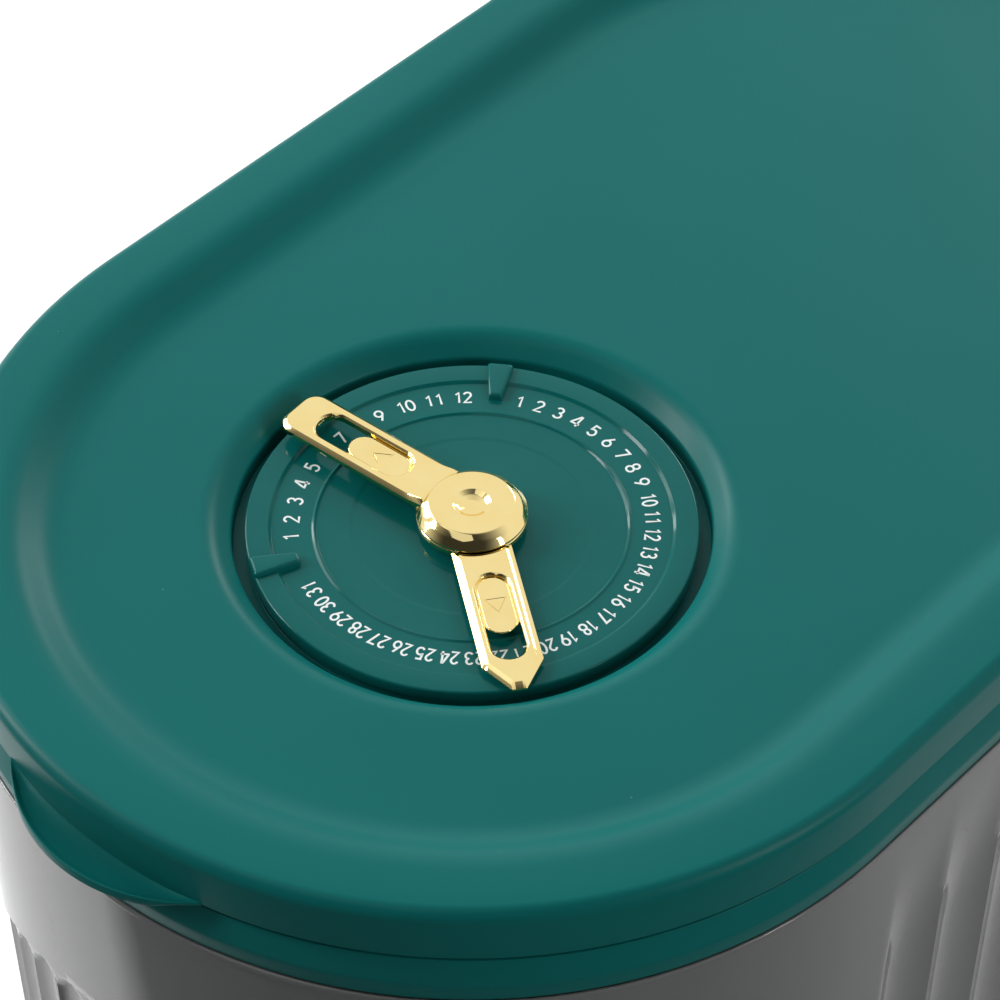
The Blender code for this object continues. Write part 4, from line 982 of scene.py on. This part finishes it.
@dataclass
class Liner:
    """The lid's inner tray, its gasket, the six screws and the freshness box with its sachet."""

    low_z: float = 232.0
    top_z: float = 233.8
    radius: float = 81.5
    wall: float = 2.0
    flange: float = 91.0
    flange_z: float = 239.6
    flange_top: float = 241.4
    gasket_radius: float = 88.0
    gasket_z: float = 236.3
    gasket_top: float = 239.3
    screw_head: float = 2.9
    screw_sink: float = 0.3
    screw_height: float = 1.3
    screw_dome: float = 0.45
    cross_depth: float = 0.55
    cross_half: tuple[float, float] = (0.45, 0.15)  # half width of a bar, and the run of its side
    cross_end: tuple[float, float] = (1.75, 0.3)  # reach of a bar, and the run of its end
    box_radius: float = 32.0
    box_z: float = 225.0
    cap_radius: float = 33.0
    cap_play: float = 2.3  # from the box's outside to the cap's plug
    cap_plug: tuple[float, float] = (1.8, 6.0)  # wall and height
    cap_top: float = 224.7
    cap_low: float = 222.8
    slots: int = 8
    slot_run: tuple[float, float] = (8.0, 24.0)
    slot_half: float = 1.1
    sachet_radius: float = 25.0
    sachet_height: float = 5.2
    sachet_puckers: int = 18
    pucker_depth: float = 0.35
    lump_depth: float = 0.18
    seam: float = 0.94  # share of the radius where the filling ends
    crimp: float = 0.012  # how far the rim draws in at a pucker

    def tray(self, finishes: Finishes) -> None:
        """The tray: one open-to-the-spine section, capped above and below, and the box's ring."""
        inner = self.radius - self.wall
        section = rounded([
            (inner - 12, self.top_z, 0.0), (inner, self.top_z, 1.0), (inner, self.flange_top, 0.6),
            (self.flange, self.flange_top, 0.5), (self.flange, self.flange_z, 0.5),
            (self.radius, self.flange_z, 0.6), (self.radius, self.low_z, 1.4),
            (self.radius - 14, self.low_z, 0.0),
        ], 6)
        body = Surface(stadium_plan(112, 16).carry(section), capped=True)
        box, bore, high = self.box_radius, self.box_radius - self.wall, self.low_z + 1.0
        ring = [(box, high, 0.0), (box, self.box_z, 0.5), (bore, self.box_z, 0.5), (bore, high, 0.0)]
        parts = [body, turned(rounded(ring, closed=True), BOX_AXIS, closed=True)]
        fit_out(mesh_piece("liner_tray", parts), finishes.satin, Body.LID, ("lid_liner",))

    def gasket(self, finishes: Finishes) -> None:
        """The ring on the collar, with a soft lip at its outer edge."""
        inner = self.radius + 0.3
        reach, low, top = self.gasket_radius, self.gasket_z, self.gasket_top
        section = rounded([
            (reach, low, 0.2), (reach - 1.0, top, 0.6), (inner, top, 0.3),
            (inner, low + 1.0, 0.3), (reach - 2.0, low + 1.0, 0.3), (reach - 1.5, low, 0.2),
        ], closed=True)
        piece = mesh_piece("lid_seal", [swept(section, 112, 12)])
        fit_out(piece, finishes.silicone, Body.LID, ("lid_gasket",))

    def screws(self, finishes: Finishes) -> None:
        """Six pan-head screws; each head's face sinks where a cross of two bars lies over it."""
        top = self.low_z - self.screw_sink
        around = directions(full_turn(64))
        out = np.concatenate([np.linspace(0.0, 2.2, 12), [2.4, 2.6, 2.8, self.screw_head]])[:, None]
        x, y = out * around[:, 0], out * around[:, 1]
        arm = np.minimum(np.abs(x), np.abs(y))
        (half, side), (reach, end) = self.cross_half, self.cross_end
        cross = smooth((half - arm) / side) * smooth((reach - out) / end)
        rise = self.screw_dome * (out / self.screw_head) ** 4
        dome = top - self.screw_height + rise + self.cross_depth * cross
        head = np.stack([x, y, dome], 2)
        tip = top + 8.0
        shank = [(self.screw_head, top), (1.2, top), (1.2, top + 6.8), (0.4, tip), (0.0, tip)]
        surfaces = [
            Surface(np.concatenate([head + np.array([*place, 0.0]), spokes(place, around).carry(shank)]))
            for place in boss_places()
        ]
        names = tuple(f"liner_screw_{number}" for number in range(1, 7))
        fit_out(mesh_piece("liner_screws", surfaces), finishes.steel, Body.LID, names)

    def cap(self, finishes: Finishes) -> None:
        """The push-fit cap: a turned cup whose plate is cut by radial slots."""
        outer = self.box_radius - self.cap_play
        plug, rise = self.cap_plug
        low, top = self.cap_low, self.cap_top
        section = rounded([
            (0.0, top, 0.0), (outer - plug, top, 0.4), (outer - plug, top + rise, 0.4),
            (outer, top + rise, 0.6), (outer, top, 0.2), (self.cap_radius, top, 0.3),
            (self.cap_radius, low, 0.8), (0.0, low, 0.0),
        ], 5)
        piece = mesh_piece("vent_cap_moulding", [turned(section, BOX_AXIS, 128)])
        (near, far), half = self.slot_run, self.slot_half
        box = with_radii([(near, -half), (far, -half), (far, half), (near, half)], half - 0.05)
        cutters = []
        for slot in range(self.slots):
            flat = swung(rounded(box, 6, closed=True), 2 * math.pi * (slot + 0.5) / self.slots, BOX_AXIS)
            cutters.append(Surface(np.stack([lifted(flat, low - 1), lifted(flat, top + 1)]), capped=True))
        cutter = mesh_piece("vent_slots_cutter", cutters)
        cut = piece.modifiers.new("slots", "BOOLEAN")
        cut.operation = "DIFFERENCE"
        cut.solver = "EXACT"
        cut.object = cutter
        graph = bpy.context.evaluated_depsgraph_get()
        mesh = bpy.data.meshes.new_from_object(piece.evaluated_get(graph))
        piece.modifiers.clear()
        piece.data = mesh
        mesh.name = piece.name
        bpy.data.objects.remove(cutter, do_unlink=True)
        mesh.set_sharp_from_angle(angle=math.radians(32.0))
        fit_out(piece, finishes.satin, Body.VENT, ("vent_cap",))

    def sachet(self, finishes: Finishes) -> None:
        """A filled round paper pack.

        Its half thickness is a root of (1 - r squared) with small creases that deepen towards the
        crimped rim; it lies flat where it rests on the cap.
        """
        angle = full_turn(144)
        share = np.concatenate([np.linspace(0.0, 0.9, 25), [0.93, 0.96, 0.98, 1.0]])[:, None]
        fill = np.sqrt(np.clip(1.0 - (share / self.seam) ** 2, 0.0, 1.0))
        folds = self.sachet_puckers * angle
        wander = np.sin(folds + 2.0 * np.sin(3 * angle))
        pucker = self.pucker_depth * smooth((share - 0.45) / 0.45) * wander
        lumps = self.lump_depth * np.sin(5 * angle + 9 * share) * np.sin(11 * share) * fill
        half = self.sachet_height / 2
        low = self.cap_top + 0.3
        above = low + half + fill * (half - 0.5 + pucker * 0.6) + lumps
        below = np.maximum(low + half - fill * (half - 0.3 + 0.4 * pucker), low + 0.05)
        above = np.maximum(above, low + half + 0.12)
        below = np.minimum(below, low + half - 0.12)
        crimp = 1.0 - self.crimp * (1 + np.sin(folds)) * smooth((share - 0.7) / 0.3)
        reach = self.sachet_radius * share * crimp
        x, y = reach * np.cos(angle), reach * np.sin(angle) + BOX_AXIS[1]
        upper, lower = np.stack([x, y, above], 2), np.stack([x, y, below], 2)[::-1]
        piece = mesh_piece("desiccant_pack", [Surface(np.concatenate([upper, lower]))], 60.0)
        fit_out(piece, finishes.paper, Body.VENT, ("desiccant_sachet",))

    def build(self, finishes: Finishes) -> None:
        """Make everything under the lid."""
        for part in (self.tray, self.gasket, self.screws, self.cap, self.sachet):
            part(finishes)


# Each digit is one unit high, between the middles of its strokes. A stroke is a run of points (x, y)
# and of arcs: centre x and y, radii x and y, first and last angle in degrees.
DIGIT_WIDTH = 0.52
DIGITS = {
    "0": [[(0.26, 0.5, 0.26, 0.5, 90, 450)]],
    "1": [[(0.02, 0.8), (0.235, 1.0), (0.235, 0.0)]],
    "2": [[(0.25, 0.745, 0.235, 0.255, 165, -38), (0.0, 0.0), (0.52, 0.0)]],
    "3": [[(0.245, 0.755, 0.225, 0.245, 155, -90)], [(0.255, 0.27, 0.265, 0.27, 90, -155)]],
    "4": [[(0.40, 0.0), (0.40, 1.0), (0.32, 1.0), (-0.03, 0.30), (-0.03, 0.24), (0.56, 0.24)]],
    "5": [[(0.47, 1.0), (0.09, 1.0), (0.06, 0.55), (0.25, 0.31, 0.265, 0.31, 128, -150)]],
    "6": [[(0.36, 1.0), (0.05, 0.44)], [(0.26, 0.29, 0.26, 0.29, 0, 360)]],
    "7": [[(0.0, 1.0), (0.52, 1.0), (0.17, 0.0)]],
    "8": [[(0.26, 0.755, 0.215, 0.245, 0, 360)], [(0.26, 0.265, 0.26, 0.265, 0, 360)]],
    "9": [[(0.16, 0.0), (0.47, 0.56)], [(0.26, 0.71, 0.26, 0.29, 0, 360)]],
}


def stroke_path(stroke: list[tuple[float, ...]], steps: int = 20) -> np.ndarray:
    """The points of one stroke of a digit, its arcs in steps facets."""
    runs = []
    for item in stroke:
        if len(item) == 2:
            runs.append(np.array([item]))
            continue
        angle = np.radians(np.linspace(item[4], item[5], steps + 1))
        runs.append(np.array(item[:2]) + np.array(item[2:4]) * directions(angle))
    return np.concatenate(runs)


def band(path: np.ndarray, width: float, low: float, high: float) -> Surface:
    """A flat band of even width along a path, mitred at its corners.

    Args:
        path: (n, 2) points; a ring when the last lies on the first.
        width: across the path.
        low: height of the underside.
        high: height of the top.

    Returns:
        The band, a grid of four columns.
    """
    ring = bool(np.linalg.norm(path[0] - path[-1]) < 1e-6)
    points = path[:-1] if ring else path
    ahead = np.roll(points, -1, axis=0) - points
    if not ring:
        ahead[-1] = ahead[-2]
    ahead /= np.linalg.norm(ahead, axis=1, keepdims=True)
    side = np.stack([-ahead[:, 1], ahead[:, 0]], 1)
    before = np.roll(side, 1, axis=0)
    if not ring:
        before[0] = side[0]
    share = np.maximum(1.0 + (side * before).sum(1, keepdims=True), 0.6)
    mitre = (side + before) / share * (width / 2)
    corners = [(1.0, low), (1.0, high), (-1.0, high), (-1.0, low)]
    columns = [lifted(points + mitre * sign, height) for sign, height in corners]
    return Surface(np.stack(columns, 1), closed=ring, capped=not ring)


@dataclass
class Dial:
    """Glossy dial disc: outer ring, number ring, ridge, centre field, wedge marks and numbers."""

    radius: float = 44.0
    bore: float = 3.1
    low_z: float = 239.4
    ring_inner: float = 39.2
    step: float = 0.55
    ridge: float = 30.6
    field_z: float = 241.3
    inner_circle: float = 23.5
    boss_radius: float = 7.8
    boss_z: float = 242.7
    wedge_angles: tuple[float, float] = (math.radians(125.0), math.radians(-121.0))
    wedge_tip: float = 34.5
    wedge_half: float = 2.75
    wedge_tip_half: float = 1.3
    wedge_rise: float = 1.0
    wedge_soft: float = 0.7
    wedge_root: tuple[float, float] = (-0.15, 240.5)  # how far the foot stands out, and its height
    peg_angles: tuple[float, ...] = (90.0, 210.0, 330.0)
    peg_reach: float = 30.0
    # Pegs that snap into the well's floor: a shank and a barbed head
    peg: tuple[tuple[float, float], ...] = (
        (0.0, 241.0), (2.0, 241.0), (2.0, 236.6), (2.8, 236.6), (2.8, 235.8), (0.0, 235.8)
    )
    digit_height: float = 2.85  # between the middles of the strokes
    digit_reach: float = 35.0
    stroke: float = 0.44
    ink: float = 0.02
    # First and last number, first angle and step in degrees, width and pitch of the digits
    number_runs: tuple[tuple[int, int, float, float, float, float], ...] = (
        (1, 9, -131.5, -8.03, 1.55, 2.1),
        (10, 12, -205.0, -9.6, 1.55, 2.1),
        (1, 9, 117.0, -7.0, 1.6, 2.1),
        (10, 31, 52.9, -7.66, 1.34, 1.93),
    )

    def disc(self) -> Surface:
        """The turned disc, with a small radius on every step."""
        number_z = DIAL_FACE - self.step
        inner_z = self.field_z - 0.1
        section = rounded([
            (self.bore, self.boss_z, 0.0), (self.boss_radius, self.boss_z, 0.3),
            (self.boss_radius + 0.6, inner_z, 0.3), (self.inner_circle - 0.4, inner_z, 0.3),
            (self.inner_circle + 0.4, self.field_z, 0.3), (self.ridge - 0.5, self.field_z, 0.3),
            (self.ridge, number_z + 0.28, 0.16), (self.ridge + 0.5, number_z, 0.2),
            (self.ring_inner - 0.3, number_z, 0.2), (self.ring_inner + 0.3, DIAL_FACE, 0.2),
            (self.radius, DIAL_FACE, 0.45), (self.radius, self.low_z, 0.1),
            (self.bore, self.low_z, 0.0),
        ], closed=True)
        return turned(section, DIAL_AXIS, 160, closed=True)

    def wedge(self, angle: float) -> Surface:
        """A raised wedge: its outline at several levels, the top ones drawn in as a soft edge."""
        tip, wide = self.wedge_tip_half, self.wedge_half
        edge = self.radius - 0.1
        corners = [(edge, -wide), (edge, wide), (self.wedge_tip, tip), (self.wedge_tip, -tip)]
        top = DIAL_FACE + self.wedge_rise
        bend = np.radians([0.0, 22.5, 45.0, 67.5, 90.0])
        soft = np.stack([1.0 - np.cos(bend), np.sin(bend) - 1.0], 1) * self.wedge_soft + (0.0, top)
        rows = []
        for depth, height in (self.wedge_root, *soft.tolist()):
            loop = rounded(with_radii(inset(corners, depth), [0.6, 0.6, 0.5, 0.5]), 5, closed=True)
            rows.append(lifted(swung(loop, angle, DIAL_AXIS), height))
        return Surface(np.stack(rows), capped=True)

    def number(self, number: int, angle: float, width: float, pitch: float) -> list[Surface]:
        """One number's strokes as thin bands of ink, its top outwards.

        Args:
            number: what to print.
            angle: of its middle, about the dial's axis.
            width: of a digit.
            pitch: from digit to digit.
        """
        out = np.array([math.cos(angle), math.sin(angle)])
        across = np.array([out[1], -out[0]])
        text = str(number)
        bands = []
        for place, digit in enumerate(text):
            wide = width * (0.45 if digit == "1" else 1.0)
            left = (place - len(text) / 2) * pitch + (pitch - wide) / 2
            for layer, stroke in enumerate(DIGITS[digit]):
                path = stroke_path(stroke) * (width / DIGIT_WIDTH, self.digit_height)
                reach = self.digit_reach + path[:, 1] - self.digit_height / 2
                flat = (left + path[:, 0])[:, None] * across + reach[:, None] * out
                high = DIAL_FACE - self.step + self.ink + 0.004 * layer
                bands.append(band(flat + DIAL_AXIS, self.stroke, high - 0.03, high))
        return bands

    def build(self, finishes: Finishes) -> None:
        """Make the disc with its wedges and pegs, and print the months and days on its ring."""
        wedges = [self.wedge(angle) for angle in self.wedge_angles]
        places = self.peg_reach * directions(np.radians(self.peg_angles)) + DIAL_AXIS
        pegs = [turned(self.peg, place, 24) for place in places]
        piece = mesh_piece("dial_face", [self.disc(), *wedges, *pegs])
        fit_out(piece, finishes.gloss, Body.LID, ("dial_disc",))
        bands = []
        for low, high, first, step, width, pitch in self.number_runs:
            for number in range(low, high + 1):
                bands += self.number(number, math.radians(first + step * (number - low)), width, pitch)
        fit_out(mesh_piece("dial_numbers", bands), finishes.ink, Body.LID)


@dataclass
class Hand:
    """A gold hand: hub, windowed arm and arrow pad, along its own angle from the dial's axis."""

    name: str
    body: Body
    angle: float
    corners: tuple[tuple[float, float, float], ...]  # of the arm: along, across and radius
    window: tuple[float, float, float]  # start, end, half width
    pad_end: float
    pad_drop: float
    arm_z: tuple[float, float]
    bevel: tuple[float, float]  # run and drop
    hub: tuple[tuple[float, float, float], ...]  # reach, height and radius
    hub_closed: bool
    ramp: float = 0.0  # how far the arm's top climbs the hub
    ramp_rows: tuple[float, ...] = (9.2, 10.6, 12.0, 13.4)
    ramp_run: tuple[float, float] = (8.8, 4.6)  # where the climb ends, and its length
    lip: tuple[float, float] = (0.45, 0.35)  # run and drop of the window's edge
    edge_round: tuple[float, float] = (0.14, 0.1)  # of the arm's and the window's edge
    least_round: float = 0.12  # of the outline's corners
    gap: float = 0.35  # between the pad and the window's wall

    def place(self, flat: np.ndarray, height: float) -> np.ndarray:
        """Turn points of (along, across) to the hand's angle and lift them to a height."""
        return lifted(swung(flat, self.angle, DIAL_AXIS), height)

    def slot(self, start: float, end: float, half: float) -> np.ndarray:
        """A round-ended slot along the arm."""
        box = [(start, -half), (end, -half), (end, half), (start, half)]
        return rounded(with_radii(box, half * 0.999), 10, closed=True)

    def arm(self) -> Surface:
        """The arm round its window, as one ring-shaped grid.

        Every row is an outline read at the same directions about the window's middle: the outer
        edge with its bevel, then the window's edge and wall, and the underside closes the ring.
        """
        low, high = self.arm_z
        start, end, half = self.window
        middle = np.array([(start + end) / 2, 0.0])
        run, drop = self.bevel
        lip, sink = self.lip
        inner = 9.0  # only starts and ends the two edges' sections; its own point is dropped
        edge = [(0.0, low), (0.0, high - drop), (run, high), (inner, high)]
        mouth = [(inner, high), (lip, high), (0.0, high - sink), (0.0, low)]
        corners, radii = np.array(self.corners)[:, :2], np.array(self.corners)[:, 2]
        levels = []
        for depth, height in rounded(with_radii(edge, self.edge_round[0]), 3)[:-1]:
            outline = with_radii(inset(corners, depth), np.maximum(radii - depth, self.least_round))
            levels.append((rounded(outline, 6, closed=True), height))
        for row, reach in enumerate(self.ramp_rows if self.ramp else ()):
            cut = [(max(x, reach), y) for x, y in inset(corners, run + 0.12 * (row + 1))]
            levels.append((rounded(with_radii(cut, radii * 0.7), 6, closed=True), high))
        for grown, height in rounded(with_radii(mouth, self.edge_round[1]), 3)[1:]:
            levels.append((self.slot(start - grown, end + grown, half + grown), height))
        loops = [loop - middle for loop, _ in levels]
        turns = np.concatenate([np.arctan2(loop[:, 1], loop[:, 0]) for loop in loops])
        angles = np.unique(np.round(turns, 5))
        rows = []
        for loop, (_, height) in zip(loops, levels):
            flat = read_outline(loop, angles) + middle
            row = self.place(flat, height)
            climb = 1.0 - smooth((np.linalg.norm(flat, axis=1) - self.ramp_run[0]) / self.ramp_run[1])
            row[:, 2] += self.ramp * climb * (height - low) / (high - low)
            rows.append(row)
        return Surface(np.stack(rows), closed=True)

    def pad(self) -> Surface:
        """The arrow pad in the window, a little below the arm's top, with rounded edges."""
        start, _, half = self.window
        start, half = start + self.gap, half - self.gap
        top = self.arm_z[1] - self.pad_drop
        rim = rounded([(0.0, self.arm_z[0] + 0.15, 0.0), (0.0, top, 0.2), (6.0, top, 0.0)], 5)[:-1]
        rows = [
            self.place(self.slot(start + depth, self.pad_end - depth, half - depth), height)
            for depth, height in rim
        ]
        return Surface(np.stack(rows), capped=True)

    def web(self) -> Surface:
        """The thin floor that carries the pad."""
        start, _, half = self.window
        low = self.arm_z[0] + 0.1
        loop = self.slot(start - 0.5, self.pad_end - 0.3, half + 0.3)
        return Surface(np.stack([self.place(loop, low), self.place(loop, low + 0.15)]), capped=True)

    def arrow(self) -> Surface:
        """A fine raised line round a triangle that points outwards."""
        middle = (self.window[0] + self.pad_end) / 2
        triangle = [(middle - 1.7, -2.3), (middle + 2.2, 0.0), (middle - 1.7, 2.3)]
        top = self.arm_z[1] - self.pad_drop
        levels = [(0.0, -0.05), (0.1, 0.09), (0.26, 0.09), (0.36, -0.05)]
        rows = [self.place(inset(triangle, depth), top + height) for depth, height in levels]
        return Surface(np.stack(rows), closed=True)

    def build(self, finishes: Finishes) -> None:
        """Make the hand as one piece."""
        section = rounded(self.hub, 6, closed=self.hub_closed)
        hub = turned(section, DIAL_AXIS, closed=self.hub_closed)
        parts = [hub, self.arm(), self.pad(), self.web(), self.arrow()]
        piece = mesh_piece(f"{self.name}_plated", parts, 30.0)
        fit_out(piece, finishes.gold, self.body, (self.name,))


# The upper, square-ended hand with the hub cap, its dimple and the shaft
MONTH_HAND = Hand(
    name="month_hand",
    body=Body.MONTH,
    angle=math.radians(184.0),
    corners=((7.6, -5.9, 0.0), (45.0, -5.9, 3.6), (45.0, 5.9, 3.6), (7.6, 5.9, 0.0)),
    ramp=0.85,
    window=(15.8, 38.4, 3.5),
    pad_end=30.2,
    pad_drop=0.9,
    arm_z=(244.7, 246.3),
    bevel=(0.85, 0.6),
    hub=(
        (0.0, 246.3, 0.0), (1.4, 246.4, 2.5), (2.7, 246.75, 1.6), (3.75, 247.3, 0.3),
        (8.3, 247.3, 0.9), (9.75, 246.3, 3.0), (10.8, 245.0, 0.15), (10.8, 244.6, 0.1),
        (7.3, 244.6, 0.0), (7.3, 245.15, 0.0), (2.8, 245.15, 0.0), (2.8, 236.9, 0.0),
        (0.0, 236.9, 0.0),
    ),
    hub_closed=False,
)
# The lower, pointed hand and the ring it turns on
DAY_HAND = Hand(
    name="day_hand",
    body=Body.DAY,
    angle=math.radians(-36.1),
    corners=(
        (7.6, -5.9, 0.0), (38.8, -5.9, 0.5), (45.4, -1.4, 0.5),
        (45.4, 1.4, 0.5), (38.8, 5.9, 0.5), (7.6, 5.9, 0.0),
    ),
    window=(16.4, 38.1, 3.4),
    pad_end=31.1,
    pad_drop=0.6,
    arm_z=(243.2, 244.3),
    bevel=(1.35, 0.7),
    hub=(
        (3.1, 244.3, 0.0), (10.8, 244.3, 0.4), (10.8, 243.0, 0.2),
        (7.3, 243.0, 0.0), (7.3, 243.55, 0.0), (3.1, 243.55, 0.0),
    ),
    hub_closed=True,
)


def dress_hardware(finishes: Finishes) -> None:
    """Give the CAD nodes that stay visible their finish."""
    pads = [f"foot_pad_{end}_{side}" for end in ("front", "rear") for side in ("left", "right")]
    groups = {
        finishes.silicone: pads,
        finishes.steel: ["hinge_pin", "hub_washer", "hub_screw"],
        finishes.nylon: ["day_washer", "month_washer"],
    }
    for finish, names in groups.items():
        for name in names:
            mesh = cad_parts[name].data
            mesh.materials.clear()
            mesh.materials.append(finish)
            LOG.info("%s: CAD node, %s", name, finish.name)


# Studio


def put(name: str, data: Any) -> Object:
    """Put a new object with this data in the scene."""
    made_object = bpy.data.objects.new(name, data)
    bpy.context.scene.collection.objects.link(made_object)
    return made_object


@dataclass(frozen=True)
class Softbox:
    """A rectangular soft light: where it stands as seen from the lid, and how bright it looks."""

    name: str
    direction: tuple[float, float, float]
    size: tuple[float, float]  # across and up, in metres
    radiance: float  # 1 mirrors as white
    mirrored: bool = True  # whether mirrors show it
    lighting: bool = True  # whether it lights dull surfaces
    distance: float = 1.6

    def place(self, target: Vector) -> None:
        """Add the lamp, facing the target; its power is radiance times pi times its area."""
        data = bpy.data.lights.new(self.name, "AREA")
        data.shape = "RECTANGLE"
        data.size, data.size_y = self.size
        data.energy = self.radiance * math.pi * self.size[0] * self.size[1]
        lamp = put(self.name, data)
        lamp.visible_glossy = self.mirrored
        lamp.visible_diffuse = self.lighting
        away = Vector(self.direction).normalized()
        lamp.location = target + away * self.distance
        lamp.rotation_euler = away.to_track_quat("Z", "Y").to_euler()


@dataclass
class Studio:
    """Floor, lamps, world and the camera fitted to the photograph."""

    azimuth: float = math.radians(42.328)
    elevation: float = math.radians(45.76)
    distance: float = 704.916
    target: tuple[float, float] = (0.088, 7.919)  # from the dial's axis, at the dial's face
    lens: float = 130.42
    floor_half: float = 4.0  # metres
    world_level: float = 0.12
    room_side: tuple[float, float, float] = (0.35, -0.75, 0.56)
    room_run: tuple[float, float] = (0.1, 0.85)  # from backdrop to dark room, along room_side
    room_level: float = 0.04
    lamps: tuple[Softbox, ...] = (
        Softbox("left_front_strip", (-0.76, -0.50, 0.43), (0.32, 0.9), 18.0),
        Softbox("left_strip", (-0.93, 0.05, 0.36), (0.15, 0.8), 10.0),
        Softbox("rear_strip", (-0.24, 0.88, 0.40), (0.45, 0.3), 10.0),
        Softbox("left_box", (-0.84, -0.08, 0.53), (0.6, 0.9), 6.0, lighting=False),
        Softbox("front_top_card", (-0.12, -0.37, 0.92), (1.5, 0.6), 0.8),
        Softbox("right_strip", (0.92, 0.15, 0.38), (0.2, 0.8), 7.0),
        Softbox("rear_left_scrim", (-0.50, 0.60, 0.62), (1.0, 0.8), 2.6, mirrored=False),
        Softbox("left_scrim", (-0.85, 0.38, 0.36), (0.9, 0.6), 7.0, mirrored=False),
        Softbox("rear_right_scrim", (0.55, 0.50, 0.67), (1.0, 0.8), 1.2, mirrored=False),
        Softbox("right_scrim", (0.95, 0.10, 0.28), (0.8, 0.6), 3.6, mirrored=False),
    )

    def floor(self) -> None:
        """Lay the pale card under the bin."""
        half = self.floor_half
        corners = [(-half, -half, 0.0), (half, -half, 0.0), (half, half, 0.0), (-half, half, 0.0)]
        mesh = bpy.data.meshes.new("floor")
        mesh.from_pydata(corners, [], [[0, 1, 2, 3]])
        floor = put("floor", mesh)
        mesh.materials.append(StudioCard().make())

    def camera(self) -> None:
        """Place the camera: it looks at the target along the fitted azimuth and elevation."""
        sin, cos, flat = math.sin(self.azimuth), math.cos(self.azimuth), math.cos(self.elevation)
        away = Vector((sin * flat, -cos * flat, math.sin(self.elevation)))
        right = Vector((cos, sin, 0.0))
        look = Vector((self.target[0], FRONT_Y + self.target[1], DIAL_FACE)) * MM
        data = bpy.data.cameras.new("photo_camera")
        data.lens = self.lens
        data.sensor_width = 36.0
        data.clip_start = 0.01
        camera = put("photo_camera", data)
        turn = Matrix((right, away.cross(right), away)).transposed().to_4x4()
        camera.matrix_world = Matrix.Translation(look + away * self.distance * MM) @ turn
        bpy.context.scene.camera = camera

    def world(self) -> None:
        """A plain grey dome that the camera, mirrors and clear parts see as a white backdrop.

        Mirrors also see the dark room on the photographer's side, from which the backdrop is lit.
        """
        shades = Shades(bpy.data.worlds.new("studio_dome"), "Background")
        path = shades.add("LightPath").outputs
        side = shades.dot(shades.where("Generated"), self.room_side)
        curve = {"interpolation_type": "SMOOTHSTEP"}
        room = shades.ramp(side, 1.0, self.room_level, *self.room_run, **curve)
        mirrored = shades.math("MULTIPLY", path["Is Glossy Ray"], room)
        seen = shades.math("MAXIMUM", path["Is Camera Ray"], path["Is Transmission Ray"])
        lit = shades.math("MULTIPLY", path["Is Diffuse Ray"], self.world_level)
        level = shades.math("MAXIMUM", shades.math("MAXIMUM", mirrored, seen), lit)
        bpy.context.scene.world = shades.finish({"Strength": level, "Color": WHITE})

    def build(self) -> None:
        """Set up the floor, the light and the camera."""
        self.floor()
        self.world()
        for lamp in self.lamps:
            lamp.place(Vector((0.0, FRONT_Y * MM, DIAL_FACE * MM)))
        self.camera()
        bpy.context.scene.view_settings.view_transform = "Standard"


def main() -> None:
    """Build the bin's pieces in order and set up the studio."""
    logging.basicConfig(level=logging.INFO, format="%(name)s %(message)s")
    finishes = Finishes()
    for part in (Tub(), Collar(), Lid(), Liner(), Dial(), DAY_HAND, MONTH_HAND):
        part.build(finishes)
    dress_hardware(finishes)
    Studio().build()
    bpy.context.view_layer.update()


if __name__ == "__main__":
    main()
